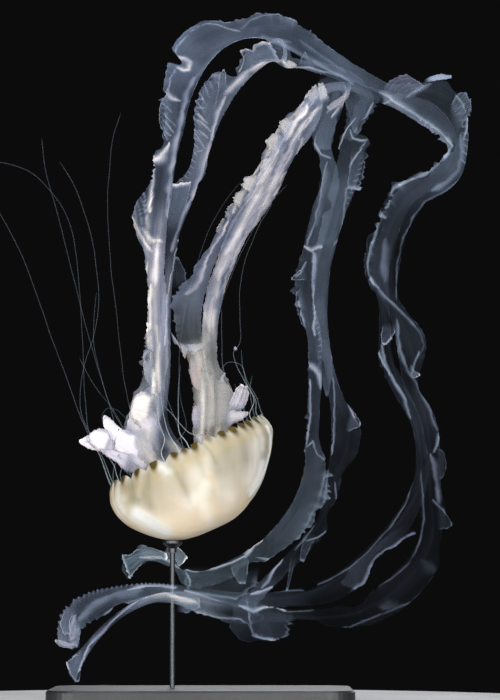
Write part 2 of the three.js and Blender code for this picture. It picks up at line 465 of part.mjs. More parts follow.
// ---------------------------------------------------------------- stand
{
  const { x, y, width, depth, height, corner, bevel } = BASE;
  const w = width / 2 - bevel, d = depth / 2 - bevel, c = corner;
  const s = new THREE.Shape();
  s.moveTo(-w + c, -d); s.lineTo(w - c, -d); s.absarc(w - c, -d + c, c, -Math.PI / 2, 0, false);
  s.lineTo(w, d - c); s.absarc(w - c, d - c, c, 0, Math.PI / 2, false);
  s.lineTo(-w + c, d); s.absarc(-w + c, d - c, c, Math.PI / 2, Math.PI, false);
  s.lineTo(-w, -d + c); s.absarc(-w + c, -d + c, c, Math.PI, Math.PI * 1.5, false);
  const slab = new THREE.ExtrudeGeometry(s, { depth: height - 2 * bevel, bevelEnabled: true, bevelThickness: bevel, bevelSize: bevel, bevelSegments: 1, curveSegments: 4 });
  slab.translate(x, y, bevel);
  slab.deleteAttribute('uv'); slab.deleteAttribute('normal');
  const base = mergeVertices(slab, 1e-4);
  base.computeVertexNormals();
  add('stand_base', base, BASE_LOOK);

  // the lowest place of the bell's outside, where the cup carries it
  let low = null;
  for (let t = 0.3; t <= 1; t += 0.005) for (let a = 0; a < 360; a += 3) {
    const p = skin(rad(a), t, 0);
    if (!low || p.z < low.z) low = p;
  }
  // a dished cup whose face follows the bell, a gap below it
  const under = (px, py) => {          // height of the bell's outside over this place
    let best = Infinity;
    for (let t = 0.45; t <= 1; t += 0.01) for (let a = 0; a < 360; a += 3) {
      const p = skin(rad(a), t, 0);
      const d = Math.hypot(p.x - px, p.y - py);
      if (d < 3.2 && p.z < best) best = p.z;
    }
    return best;
  };
  const n = 20, list = [];
  const faceZ = [];
  for (let k = 0; k < n; k++) faceZ.push(under(low.x + CUP_RADIUS * Math.cos(2 * Math.PI * k / n), low.y + CUP_RADIUS * Math.sin(2 * Math.PI * k / n)));
  const points = [], tri = [];
  const levels = [[CUP_RADIUS, (k) => Math.min(faceZ[k], low.z + 2) - 2 * GAP - 0.15], [CUP_RADIUS, (k) => low.z - CUP_THICK], [ROD_RADIUS + 1.4, () => low.z - CUP_THICK - 5], [ROD_RADIUS + 1.4, () => low.z - CUP_THICK - 9]];
  for (const [r, z] of levels) for (let k = 0; k < n; k++) points.push(V(low.x + r * Math.cos(2 * Math.PI * k / n), low.y + r * Math.sin(2 * Math.PI * k / n), z(k)));
  points.push(V(low.x, low.y, low.z - 2 * GAP - 0.15), V(low.x, low.y, low.z - CUP_THICK - 9));
  const top = points.length - 2, bottom = points.length - 1;
  for (let i = 0; i + 1 < levels.length; i++) for (let k = 0; k < n; k++) {
    const a = i * n + k, b = i * n + (k + 1) % n;
    tri.push(a, a + n, b + n, a, b + n, b);
  }
  for (let k = 0; k < n; k++) { tri.push(top, k, (k + 1) % n); tri.push(bottom, (levels.length - 1) * n + (k + 1) % n, (levels.length - 1) * n + k); }
  add('stand_cup', outward(points, tri), STEEL_LOOK);

  const zTop = low.z - CUP_THICK - 9 - GAP, zBottom = height + GAP;
  const rod = new THREE.CylinderGeometry(ROD_RADIUS, ROD_RADIUS, zTop - zBottom, 20);
  rod.rotateX(Math.PI / 2);
  rod.translate(low.x, low.y, (zTop + zBottom) / 2);
  rod.deleteAttribute('uv'); rod.deleteAttribute('normal');
  const rodMerged = mergeVertices(rod, 1e-4);
  rodMerged.computeVertexNormals();
  add('stand_rod', rodMerged, STEEL_LOOK);
}

// ---------------------------------------------------------------- origin
model.updateMatrixWorld(true);
const box = new THREE.Box3().setFromObject(model, true);
place.position.set(-(box.min.x + box.max.x) / 2, -(box.min.y + box.max.y) / 2, -box.min.z);
model.updateMatrixWorld(true);

export default model;
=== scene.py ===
# Looks of the sea nettle display model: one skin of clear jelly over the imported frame,
# the stand's finishes, a small pale floor, soft lights and the camera.
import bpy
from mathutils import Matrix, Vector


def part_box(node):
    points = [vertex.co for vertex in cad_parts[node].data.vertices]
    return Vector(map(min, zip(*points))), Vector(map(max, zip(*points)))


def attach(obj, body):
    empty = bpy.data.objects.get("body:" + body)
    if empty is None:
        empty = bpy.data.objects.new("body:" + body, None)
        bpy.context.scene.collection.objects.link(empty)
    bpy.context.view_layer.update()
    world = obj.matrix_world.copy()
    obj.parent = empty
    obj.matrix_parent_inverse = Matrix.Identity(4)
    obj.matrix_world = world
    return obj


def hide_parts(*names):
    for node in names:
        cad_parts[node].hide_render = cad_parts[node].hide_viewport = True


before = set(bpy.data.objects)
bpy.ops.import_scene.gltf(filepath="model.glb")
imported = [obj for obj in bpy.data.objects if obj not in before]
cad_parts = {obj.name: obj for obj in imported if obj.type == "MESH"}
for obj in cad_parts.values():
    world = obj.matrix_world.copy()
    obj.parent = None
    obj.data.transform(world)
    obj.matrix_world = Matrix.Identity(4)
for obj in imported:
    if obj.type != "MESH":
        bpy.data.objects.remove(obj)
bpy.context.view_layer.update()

import math
import bpy
import numpy as np
from mathutils import Matrix, Vector

R2 = math.pi * 2

# ------------------------------------------------------------------ sizes, in millimetres
# The model is laid out about the same working origin as the solids; PLACE moves it.
lo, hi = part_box("stand_base")
PLACE = np.array([(lo.x + hi.x) * 500 + 48, (lo.y + hi.y) * 500 + 6, 0.0])

BELL_CENTRE = np.array([-59.8, 0, 248.0])
BELL_LEAN, BELL_PITCH = math.radians(24.74), math.radians(1.15)
FLAT = np.array([[82, 0], [84.5, 12.5], [79.1, 24], [72.3, 34.7], [64.4, 44.5], [56, 54], [46.3, 62], [35.8, 69], [24.5, 74.8], [12.5, 78.8], [0, 80]], float)
FULL = np.array([[86.5, 0], [93.3, 12.5], [93, 27], [87.5, 40], [78.6, 51.5], [68.5, 61.7], [57, 70.5], [44, 76], [29.5, 78.8], [15, 79.8], [0, 80]], float)
WALL_MARGIN, WALL_POLE = 1.8, 9.0
NEAR_LAPPETS = [28, 39, 46.3, 55.3, 64.6, 75, 86, 93, 100.2, 116.3, 130.6, 145.8]
NEAR_CAPS = [1.5, 1.7, 1.45, 1.7, 1.35, 0.7, 1.35, 1.0, 1.15, 1.4, 1.15, 1.1]
LAPPETS = 32
# Soft marks on the near side of the bell: half width, strength (below 0: pale), tone, course. Olive marks are painted
# shade, partly the jelly's olive tone; gold marks are a painted warm glow; white marks are painted highlights.
BELL_MARKS = [
    (6.0, 0.62, "olive", [(-117, 212), (-115, 200.5), (-113, 190.5)]),
    (4.0, 0.6, "olive", [(-122, 212), (-124, 208)]),
    (5.0, 0.62, "olive", [(-100.5, 220), (-100.5, 206), (-97.5, 192.5)]),
    (2.2, 0.55, "olive", [(-97.5, 225.5), (-99.5, 210)]),
    (3.0, 0.6, "olive", [(-74, 229.5), (-69.5, 220), (-62.5, 208), (-58.5, 196.5)]),
    (2.0, 0.5, "olive", [(-77, 235.5), (-79, 221.5)]),
    (5.0, 0.35, "olive", [(-66.5, 227.5), (-62.5, 204)]),
    (1.6, 0.7, "olive", [(-51, 256), (-44, 251), (-38, 244), (-33, 233.5)]),
    (5.0, 0.55, "olive", [(-36, 239.5), (-30.5, 225.5), (-26.5, 212)]),
    (7.0, 0.5, "olive", [(-27.5, 257), (-23.5, 245), (-17.5, 231.5)]),
    (8.0, 0.5, "olive", [(-11.5, 266.5), (-8, 253), (-4, 239.5)]),
    (6.0, 0.35, "olive", [(2, 272.5), (3, 257)]),
    (5.0, 0.6, "olive", [(11.5, 282.5), (19.5, 268.5), (21.5, 255), (19.5, 239.5)]),
    (3.0, 0.35, "olive", [(17.5, 237.5), (11.5, 220), (4, 204)]),
    (5.0, 0.3, "olive", [(-53, 245), (-49, 227.5)]),
    (8.0, 0.25, "olive", [(-135, 218), (-131, 210)]),
    (9.0, 0.22, "olive", [(-88, 208), (-82, 192.5)]),
    (9.0, 0.28, "olive", [(-21.5, 220), (-27.5, 200.5)]),
    (3.2, 0.9, "gold", [(-121, 175), (-105.5, 164), (-88, 157.5), (-63.5, 159.5), (-39, 166), (-14.5, 178), (2, 192.5), (11.5, 209)]),
    (12.0, 0.3, "gold", [(-34, 196.5), (-17.5, 190.5), (-6, 203)]),
    (9.0, 0.25, "gold", [(-76, 169), (-58.5, 175), (-43, 182.5)]),
    (2.0, 0.55, "gold", [(-135.5, 210), (-136.5, 198.5), (-134.5, 186.5), (-127, 177)]),
    (5.0, 0.5, "gold", [(-37, 220), (-31, 206)]),
    (1.5, 1.0, "white", [(16.5, 272.5), (20.5, 263), (20, 247), (15.5, 231.5), (9, 216), (0, 204)]),
    (8.0, 1.0, "white", [(-111, 184.5), (-99.5, 176), (-84, 168)]),
    (5.0, 0.5, "white", [(-130, 206), (-131, 196.5), (-125, 186.5)]),
    (8.0, 0.4, "white", [(-56.5, 196.5), (-48, 202), (-43, 212)]),
    (7.0, 0.2, "white", [(-52, 225.5), (-49, 214)]),
    (3.0, 0.15, "white", [(-107.5, 216), (-108.5, 202)]),
    (7.0, 0.35, "white", [(6, 257), (6, 235.5), (0, 218)]),
    (7.0, 0.4, "white", [(-46, 192.5), (-41, 181)]),
    (5.0, 0.18, "white", [(-43, 237.5), (-41, 223.5)]),
    (9.0, 0.3, "olive", [(-113, 202), (-101.5, 206)]),
    (12.0, 0.2, "olive", [(-97.5, 214), (-84, 218), (-72.5, 216)]),
    (10.0, 0.16, "olive", [(-88, 198.5), (-72.5, 208)]),
    (9.0, 0.16, "olive", [(-53, 233.5), (-37, 239.5), (-23.5, 247)]),
    (5.0, 0.4, "gold", [(-82, 167), (-68.5, 168)]),
    (7.0, 0.35, "gold", [(-25.5, 185.5), (-13.5, 192.5)]),
    (10.0, 0.3, "white", [(-27.5, 212), (-21.5, 202)]),
    (3.5, 0.4, "white", [(7, 266.5), (11.5, 259), (11.5, 249)]),
    (4.0, 0.8, "white", [(12.5, 235.5), (9, 221.5), (2, 208)]),
    (10.0, 0.35, "olive", [(-109.5, 198.5), (-97.5, 186.5)]),
    (8.0, 0.25, "olive", [(-35, 220), (-31, 210)]),
    (9.0, 0.18, "olive", [(-88, 220), (-76, 223.5)]),
    (16.0, 0.22, "olive", [(-125, 200.5), (-113.5, 206), (-101.5, 212)]),
    (12.0, 0.12, "olive", [(-97.5, 214), (-68.5, 227.5)]),
    (6.0, 0.45, "olive", [(-28.5, 259), (-22.5, 249)]),
    (7.0, 0.4, "olive", [(-115, 216), (-111.5, 204), (-109.5, 192.5)]),
    (5.0, 0.35, "olive", [(-128, 220), (-126, 212)]),
    (5.0, 0.4, "white", [(-129, 208), (-125, 200.5)]),
    (4.0, 0.45, "white", [(-86, 229.5), (-80, 225.5)]),
    (8.0, 0.35, "gold", [(-27.5, 208), (-19.5, 198.5)]),
    (7.0, 0.45, "gold", [(-13.5, 190.5), (-4, 198.5)]),
    (6.0, 0.5, "gold", [(-35, 180), (-25.5, 182.5), (-15.5, 187.5)]),
]
STALK_TOP = 34.5


def smooth(a, b, x):
    t = np.clip((np.asarray(x, float) - a) / (b - a), 0, 1)
    return t * t * (3 - 2 * t)


def noise1(x, seed):
    """Smooth noise along a line, -1 to 1, one cell for each unit of x."""
    r = np.random.RandomState(seed).uniform(-1, 1, 512)
    x = np.asarray(x, float)
    i = np.floor(x).astype(int)
    f = x - i
    f = f * f * (3 - 2 * f)
    return r[i % 512] * (1 - f) + r[(i + 1) % 512] * f


def noise2(x, y, seed):
    r = np.random.RandomState(seed).uniform(-1, 1, (64, 64))
    x, y = np.broadcast_arrays(np.asarray(x, float), np.asarray(y, float))
    i, j = np.floor(x).astype(int), np.floor(y).astype(int)
    f, g = x - i, y - j
    f, g = f * f * (3 - 2 * f), g * g * (3 - 2 * g)
    a = r[i % 64, j % 64] * (1 - f) + r[(i + 1) % 64, j % 64] * f
    b = r[i % 64, (j + 1) % 64] * (1 - f) + r[(i + 1) % 64, (j + 1) % 64] * f
    return a * (1 - g) + b * g


def course(rows, s=None, lead=3):
    """The smooth curve through rows, at distances s along its first lead numbers."""
    P = np.asarray(rows, float)
    n = len(P)
    d = np.linalg.norm(np.diff(P[:, :lead], axis=0), axis=1)
    k = np.concatenate([[0], np.cumsum(d)])
    if s is None:
        return k[-1]
    m = np.zeros_like(P)
    m[0], m[-1] = (P[1] - P[0]) / d[0], (P[-1] - P[-2]) / d[-1]
    for i in range(1, n - 1):
        a, b = d[i - 1], d[i]
        m[i] = ((P[i] - P[i - 1]) / a * b + (P[i + 1] - P[i]) / b * a) / (a + b)
    s = np.asarray(s, float)
    i = np.clip(np.searchsorted(k, s, side="right") - 1, 0, n - 2)
    h = d[i][:, None]
    f = (s[:, None] - k[i][:, None]) / h
    return P[i] * (2 * f**3 - 3 * f**2 + 1) + m[i] * h * (f**3 - 2 * f**2 + f) + P[i + 1] * (-2 * f**3 + 3 * f**2) + m[i + 1] * h * (f**3 - f**2)


def ease(points, x):
    """Value at x of a table of (position, value), eased between its entries."""
    px, pv = np.array([p[0] for p in points], float), np.array([p[1] for p in points], float)
    i = np.clip(np.searchsorted(px, x, side="right") - 1, 0, len(px) - 2)
    f = np.clip((x - px[i]) / (px[i + 1] - px[i]), 0, 1)
    f = f * f * (3 - 2 * f)
    return pv[i] * (1 - f) + pv[i + 1] * f


# ------------------------------------------------------------------ one mesh, built in parts
# Each part adds vertices (mm), quads, OFBake places and the numbers its material reads.
CHANNELS = ["film", "milk", "warm", "edge", "crest", "along", "cap", "gold", "flute", "rimband", "low", "side", "fold"]
build = {"v": [], "f": [], "uv": [], "mat": [], "n": 0, **{c: [] for c in CHANNELS}}


def put(verts, faces, uv, mat, **values):
    verts = np.asarray(verts, float).reshape(-1, 3)
    faces = np.asarray(faces, int)
    n = len(verts)
    # faces point out of the closed part: its volume comes out positive
    p = verts[faces] - verts.mean(0)
    vol = np.einsum("ij,ij->i", p[:, 0], np.cross(p[:, 1], p[:, 2])).sum() + np.einsum("ij,ij->i", p[:, 0], np.cross(p[:, 2], p[:, 3])).sum()
    if vol < 0:
        faces = faces[:, [0, 3, 2, 1]]
    build["v"].append(verts)
    build["f"].append(faces + build["n"])
    build["uv"].append(np.asarray(uv, float).reshape(-1, 2))
    build["mat"].append(np.full(len(faces), mat))
    for c in CHANNELS:
        build[c].append(np.broadcast_to(np.asarray(values.get(c, 0.0), float).reshape(-1) if np.ndim(values.get(c, 0.0)) else np.full(n, float(values.get(c, 0.0))), (n,)).copy())
    build["n"] += n


def cross(a, b):
    return np.cross(a, b)


def unit(a):
    return a / np.maximum(np.linalg.norm(a, axis=-1, keepdims=True), 1e-9)


def shell(mid, half, uvbox, mat, **values):
    """A thin closed sheet round the surface mid[i, j], half[i, j] thick to each side."""
    ni, nj = mid.shape[:2]
    du = np.gradient(mid, axis=0)
    dv = np.gradient(mid, axis=1)
    n = unit(cross(du, dv))
    a, b = mid + n * half[..., None], mid - n * half[..., None]
    # a rounded rim: the outermost columns and rows meet in the middle
    for side in (a, b):
        side[:, 0] = mid[:, 0]
        side[:, -1] = mid[:, -1]
        side[0] = mid[0]
        side[-1] = mid[-1]
    idx = np.arange(ni * nj).reshape(ni, nj)
    back = idx.copy()
    inner = np.zeros((ni, nj), bool)
    inner[1:-1, 1:-1] = True
    back[inner] = ni * nj + np.arange(inner.sum())
    q1 = np.stack([idx[:-1, :-1], idx[1:, :-1], idx[1:, 1:], idx[:-1, 1:]], -1).reshape(-1, 4)
    q2 = np.stack([back[:-1, :-1], back[:-1, 1:], back[1:, 1:], back[1:, :-1]], -1).reshape(-1, 4)
    verts = np.concatenate([a.reshape(-1, 3), b[inner]])
    u0, v0, u1, v1 = uvbox
    gu, gv = np.meshgrid(np.linspace(u0, u1, ni), np.linspace(v0, v1, nj), indexing="ij")
    uv = np.stack([gu, gv], -1)
    uv = np.concatenate([uv.reshape(-1, 2), uv[inner]])
    vals = {}
    for c, x in values.items():
        x = np.broadcast_to(np.asarray(x, float), (ni, nj))
        vals[c] = np.concatenate([x.reshape(-1), x[inner]])
    put(verts, np.concatenate([q1, q2]), uv, mat, **vals)


# ------------------------------------------------------------------ bell
AXIS = np.array([math.sin(BELL_LEAN) * math.cos(BELL_PITCH), math.sin(BELL_PITCH), -math.cos(BELL_LEAN) * math.cos(BELL_PITCH)])
NEAR = unit(np.array([0, -1.0, 0]) + AXIS * AXIS[1])
RIGHT = unit(np.cross(NEAR, AXIS))
if RIGHT[0] < 0:
    RIGHT = -RIGHT


def bell_point(a, r, u):
    a, r, u = np.broadcast_arrays(a, r, u)
    return BELL_CENTRE + (r * np.cos(a))[..., None] * RIGHT + (r * np.sin(a))[..., None] * NEAR + u[..., None] * AXIS


FLAT_C = np.column_stack([np.arange(11), FLAT])
FULL_C = np.column_stack([np.arange(11), FULL])


def meridian(a, t):
    a, t = np.broadcast_arrays(np.asarray(a, float), np.asarray(t, float))
    f, g = course(FLAT_C, t.ravel() * 10, 1)[:, 1:], course(FULL_C, t.ravel() * 10, 1)[:, 1:]
    w = ((1 + np.cos(a)) / 2).ravel()[:, None]
    out = g + (f - g) * w
    return out[:, 0].reshape(a.shape), out[:, 1].reshape(a.shape)


def wall(t):
    return WALL_MARGIN + (WALL_POLE - WALL_MARGIN) * (smooth(0.05, 0.95, t) * 0.75 + 0.25 * t)


# tips of the lappets, then their phase: 0 at a tip, -1 and 1 at the clefts beside it
tips = list(NEAR_LAPPETS)
caps = list(NEAR_CAPS)
span = 360 + tips[0] - tips[-1]
rest_n = LAPPETS - len(tips)
rs = np.random.RandomState(5)
for k in range(1, rest_n + 1):
    tips.append(NEAR_LAPPETS[-1] + span * k / (rest_n + 1))
    caps.append(0.7 + 0.5 * rs.rand())
tips, caps = np.radians(np.array(tips)), np.array(caps)


def lappet(a):
    """(phase, which lappet, half its width in radians) at angle a."""
    a = np.mod(a - tips[0], R2) + tips[0]
    ext = np.concatenate([tips, [tips[0] + R2]])
    i = np.clip(np.searchsorted(ext, a, side="right") - 1, 0, LAPPETS - 1)
    f = (a - ext[i]) / (ext[i + 1] - ext[i])
    near = np.where(f < 0.5, i, (i + 1) % LAPPETS)
    phase = np.where(f < 0.5, f * 2, (f - 1) * 2)
    return phase, near, (ext[i + 1] - ext[i]) / 2


def build_bell(mat):
    na = 384
    ang = np.linspace(0, R2, na, endpoint=False)
    ph, which, half_w = lappet(ang)
    scallop = 1 - np.abs(ph) ** 2.4             # 1 at a tip, 0 in the cleft
    narrow = smooth(0.03, 0.11, half_w)
    furrow = 0.35 + 0.45 * np.clip(noise1(ang * 9 / R2 * 2.0, 12), 0, 1)
    # outside, from the rim to the pole
    tt = np.concatenate([np.linspace(0, 0.12, 16), np.linspace(0.12, 0.985, 74)[1:]])
    rings, vals, ts = [], [], []
    for t in tt:
        r, u = meridian(ang, t)
        e = 0.008
        ra, ua = meridian(ang, max(0, t - e))
        rb, ub = meridian(ang, min(1, t + e))
        nr, nu = ub - ua, ra - rb
        l = np.hypot(nr, nu) + 1e-9
        nr, nu = nr / l, nu / l
        # soft radial furrows below the clefts, waning toward the crown
        f = -furrow * np.abs(ph) ** 1.6 * smooth(0, 0.08, t) * (1 - smooth(0.06, 0.5, t))
        f = f + 0.5 * noise2(ang * 5, t * 5, 8) * (1 - smooth(0.7, 1, t)) + 0.18 * noise2(ang * 17, t * 9, 9) * (1 - smooth(0.6, 1, t))
        drop = (scallop * 6.2 - 1.5) * (1 - smooth(0, 0.085, t)) * (0.55 + 0.45 * narrow)
        tuck = 1.5 * scallop * (1 - smooth(0, 0.06, t)) + 0.5 * (1 - smooth(0, 0.02, t))
        rr = np.maximum(r + nr * (f - 0.12) - tuck, 0)
        uu = u + nu * (f - 0.12) - drop
        rings.append((rr, uu)); ts.append(np.full(na, t))
    # round the rim and down the inside
    for t, d in [(0.0, 0.35), (0.0, 0.8)] + [(x, None) for x in np.concatenate([np.linspace(0.008, 0.12, 12), np.linspace(0.14, 0.97, 34)])]:
        r, u = meridian(ang, t)
        e = 0.008
        ra, ua = meridian(ang, max(0, t - e))
        rb, ub = meridian(ang, min(1, t + e))
        nr, nu = ub - ua, ra - rb
        l = np.hypot(nr, nu) + 1e-9
        nr, nu = nr / l, nu / l
        dep = (wall(t) if d is None else d)
        dep = dep * (smooth(-0.02, 0.03, t) if d is None else 1)
        drop = (scallop * 6.2 - 1.5) * (1 - smooth(0, 0.085, t)) * (0.55 + 0.45 * narrow)
        tuck = 1.5 * scallop * (1 - smooth(0, 0.06, t)) + 0.5 * (1 - smooth(0, 0.02, t))
        rr = np.maximum(r - nr * np.maximum(dep, 0.8 if d is None else d) - tuck, 0)
        uu = u - nu * dep - drop + (0.25 if d == 0.35 else 0)
        rings.append((rr, uu)); ts.append(np.full(na, t))
    m = len(rings)
    V = np.stack([bell_point(ang, r, u) for r, u in rings])          # m, na, 3
    pole_out, n_out = None, len(tt)
    verts = V.reshape(-1, 3)
    inner_pole = len(verts)
    verts = np.concatenate([verts, bell_point(0.0, 0.0, np.array(80 - WALL_POLE))[None], bell_point(0.0, 0.0, np.array(79.9))[None]])
    idx = np.arange(m * na).reshape(m, na)
    nxt = np.roll(idx, -1, axis=1)
    # the outside runs from rim (row 0) to pole (row n_out-1); the inside from the rim on
    order = list(range(n_out - 1, -1, -1)) + list(range(n_out, m))
    quads = []
    for a, b in zip(order[:-1], order[1:]):
        quads.append(np.stack([idx[a], idx[b], nxt[b], nxt[a]], -1))
    quads = np.concatenate(quads)
    last = idx[order[-1]]
    fan = np.stack([last, np.full(na, inner_pole), np.full(na, inner_pole), np.roll(last, -1)], -1)
    first = idx[order[0]]
    crown = np.stack([np.roll(first, -1), np.full(na, inner_pole + 1), np.full(na, inner_pole + 1), first], -1)
    quads = np.concatenate([quads, fan, crown])
    T = np.stack(ts)
    inside = np.zeros((m, na)); inside[n_out:] = 1
    A = np.broadcast_to(ang, (m, na)); PH = np.broadcast_to(ph, (m, na)); W = np.broadcast_to(which, (m, na))
    HW = np.broadcast_to(half_w, (m, na))
    dist = np.array([0 if k < 1 else 0 for k in range(m)])
    # distance below the lappet's own tip, along the meridian
    DROP = (np.broadcast_to(scallop, (m, na)) * 6.2 - 1.5) * (1 - smooth(0, 0.085, T)) * (0.55 + 0.45 * np.broadcast_to(narrow, (m, na)))
    depth_mm = T * 128 + (4.7 - DROP) * (1 - smooth(0, 0.085, T)) * 0.9
    c = caps[W]
    wide = np.clip(PH * HW * 84, -20, 20) / (3.6 + 1.5 * c)
    tall = depth_mm / (5.4 + 2.4 * c)
    cap = np.clip(c, 0, 1.3) * (1 - smooth(0.5, 1.15, np.hypot(wide, tall)))
    gold = np.clip(c, 0, 1.2) * np.exp(-(wide / 1.25) ** 2) * smooth(0.6, 1.2, tall) * (1 - smooth(6, 24, depth_mm))
    P0 = verts[:-2].reshape(m, na, 3)
    flute, pale = np.zeros((m, na)), np.zeros((m, na))
    glow = np.zeros((m, na))
    for halfw, strength, tone, pts in BELL_MARKS:
        d, at = np.full((m, na), 1e9), 0
        for (ax, az), (bx, bz) in zip(pts[:-1], pts[1:]):
            ex, ez = bx - ax, bz - az
            fr = np.clip(((P0[..., 0] - ax) * ex + (P0[..., 2] - az) * ez) / (ex * ex + ez * ez), 0, 1)
            d = np.minimum(d, np.hypot(P0[..., 0] - ax - fr * ex, P0[..., 2] - az - fr * ez))
        k = strength * np.exp(-(d / halfw) ** 2) * (1 - smooth(-10, 18, P0[..., 1])) * (1 - inside)
        # olive marks add painted shade, partly the jelly's own olive tone
        if tone == "olive":
            flute = flute + k * (1 - 0.6 * flute)
        # gold marks: a painted warm glow
        elif tone == "gold":
            glow = np.maximum(glow, k)
        # white marks: painted highlights
        else:
            pale = np.maximum(pale, k)
    # the far side, which carries no named marks, has a soft streak of painted shade below some clefts
    back = smooth(0, 20, P0[..., 1]) * np.broadcast_to(furrow - 0.35, (m, na)) * 1.6
    flute = np.maximum(flute, back * np.abs(PH) ** 2 * smooth(0.02, 0.08, T) * (1 - smooth(0.12, 0.34, T)))
    cx = np.cos(A)
    # a painted grey-olive shade along the right-hand limb of the bell
    rimband = smooth(0.9, 1.0, cx)
    P = verts[:-2].reshape(m, na, 3)
    # height up the bell, which sets the base colour: lighter and warmer at the bottom, greyer above, partly the jelly's
    # tone and partly painted light
    low = np.clip((P[..., 2] - 165) / 110, 0, 1)
    side = np.clip((P[..., 0] + 145) / 175, 0, 1)
    def flatten(x):
        x = np.broadcast_to(x, (m, na)).reshape(-1)
        return np.concatenate([x, [x[-1], x[(n_out - 1) * na]]])
    # places on the bake map: a disc for the outside, a smaller one for the inside
    rad_o = np.zeros(m)
    rad_o[:n_out] = 0.212 * (1 - tt) ** 0.9
    rad_i = np.linspace(1, 0, m - n_out) * 0.08
    uv = np.zeros((m, na, 2))
    for k in range(m):
        if k < n_out:
            uv[k] = np.stack([0.225 + (rad_o[k] + 0.004) * np.cos(ang), 0.775 + (rad_o[k] + 0.004) * np.sin(ang)], -1)
        else:
            uv[k] = np.stack([0.535 + (rad_i[k - n_out] + 0.002) * np.cos(ang), 0.9 + (rad_i[k - n_out] + 0.002) * np.sin(ang)], -1)
    uv = np.concatenate([uv.reshape(-1, 2), [[0.535, 0.9], [0.225, 0.775]]])
    put(verts, quads, uv, mat, cap=flatten(cap), gold=flatten(gold), flute=flatten(flute), fold=flatten(pale), warm=flatten(glow), rimband=flatten(rimband),
        low=flatten(low), side=flatten(side), along=flatten(T), edge=flatten(inside), film=1.0, milk=1.0)


# ------------------------------------------------------------------ arms
# Course of each arm: x, y, z of its rib, and how far its lips reach left and right of it.
ARM_ROWS = [
    [(-53, -8, 220, 5, -5), (-64, -12, 236, 14, -7), (-88, -20, 267, 44, -5), (-95, -16, 300, 20, -10), (-94, -12, 349, 12, -13), (-92, -9, 445, 15, -7), (-89, -6, 483, 30, -7), (-84, 0, 523, 15, -7), (-81, 4, 549, 15, -8), (-77, 8, 571, 10, -10), (-73, 15, 615, 15, -16), (-47, 24, 656, 29, -12), (-9, 28, 675, 16, -6), (13, 28, 681, 17, -12), (77, 22, 649, 12, -12), (136, 10, 612, 10, -4), (197, -17, 586, 22, -21), (209, -26, 565, 9, -13), (198, -38, 523, 12, -15), (161, -45, 500, 15, -18), (131, -50, 419, 15, -15), (137, -50, 397, 9, -7), (158, -50, 353, 15, -14), (162, -48, 307, 4, -9), (171, -46, 284, 9, -6), (177, -40, 208, 11, -11), (179, -33, 162, 16, -13), (104, -10, 88, 15, -12), (47, -4, 84, 4, -7), (-15, -5, 94, 16, -8), (-96, -12, 102, 4, -4), (-157, -24, 58, 4, -4), (-174, -28, 29, 6, -4), (-171, -28, 20, 1, -1)],
    [(-52, 9, 221, 5, -5), (-63, 12, 238, 8, -6), (-85, 17, 276, 13, -4), (-87, 18, 331, 8, -7), (-79, 20, 441, 7, -3), (-75, 22, 465, 12, -3), (-58, 25, 511, 22, -4), (-52, 24, 533, 11, -7), (-48, 22, 550, 10, -6), (-19, 4, 615, 23, -8), (-6, -2, 627, 11, -6), (7, -6, 637, 19, -5), (23, -9, 644, 16, -4), (38, -11, 642, 14, -9), (53, -12, 639, 5, -7), (68, -12, 635, 5, -7), (99, -13, 621, 8, -6), (118, -12, 603, 6, -8), (104, -5, 574, 9, -12), (103, 2, 544, 11, -15), (87, 6, 486, 8, -14), (72, 9, 425, 8, -10), (87, 15, 305, 6, -8), (99, 17, 269, 12, -18), (81, 20, 212, 8, -7), (71, 22, 179, 10, -4), (48, 26, 151, 9, -5), (7, 30, 111, 11, -4), (-3, 31, 97, 10, -8), (-4, 31, 83, 13, -14), (15, 29, 65, 11, -6), (27, 28, 61, 2, -2)],
    [(-39, -8, 218, 5, -5), (-30, -14, 280, 13, -13), (-32, -12, 314, 10, -12), (-38, -12, 331, 8, -8), (-41, -12, 369, 7, -9), (-11, -12, 470, 10, -12), (10, -14, 506, 14, -15), (30, -17, 542, 12, -12), (52, -24, 578, 10, -16), (73, -36, 606, 5, -6), (138, -52, 594, 8, -6), (175, -64, 575, 14, -10), (192, -71, 562, 8, -11), (195, -84, 527, 8, -7), (151, -91, 490, 9, -12), (126, -92, 412, 9, -8), (129, -92, 391, 6, -5), (137, -91, 332, 4, -12), (162, -87, 265, 6, -4), (165, -82, 215, 7, -7), (144, -76, 176, 12, -7), (108, -67, 140, 13, -5), (84, -61, 121, 19, -5), (34, -52, 103, 9, -7), (7, -50, 102, 9, -6), (-76, -47, 110, 4, -6), (-103, -48, 112, 12, -5), (-178, -56, 72, 11, -9), (-179, -57, 60, 7, -6), (-172, -57, 53, 1, -1)],
    [(-39, 9, 219, 5, -5), (-45, 13, 238, 10, -8), (-47, 23, 316, 11, -7), (-61, 26, 367, 13, -13), (-58, 28, 406, 19, -12), (-52, 29, 422, 9, -10), (-28, 32, 473, 5, -7), (13, 38, 544, 5, -8), (49, 44, 599, 5, -8), (86, 49, 630, 4, -7), (93, 50, 622, 6, -8), (90, 50, 607, 6, -8), (76, 50, 567, 7, -10), (81, 50, 524, 10, -8), (75, 50, 502, 11, -10), (62, 52, 444, 8, -12), (61, 53, 427, 7, -18), (60, 54, 409, 5, -14), (66, 56, 369, 7, -8), (69, 58, 327, 4, -10), (67, 60, 256, 5, -11), (66, 60, 234, 14, -11), (-7, 58, 138, 8, -9), (-68, 55, 128, 10, -6), (-82, 54, 139, 5, -9), (-108, 52, 143, 4, -6), (-126, 50, 131, 5, -4), (-123, 50, 122, 1, -1)],
]
ARM_TWIST = [(300, 3.4, 0.55), (270, 0.2, 0.5), (320, 3.0, 0.5), (290, 0.3, 0.5)]
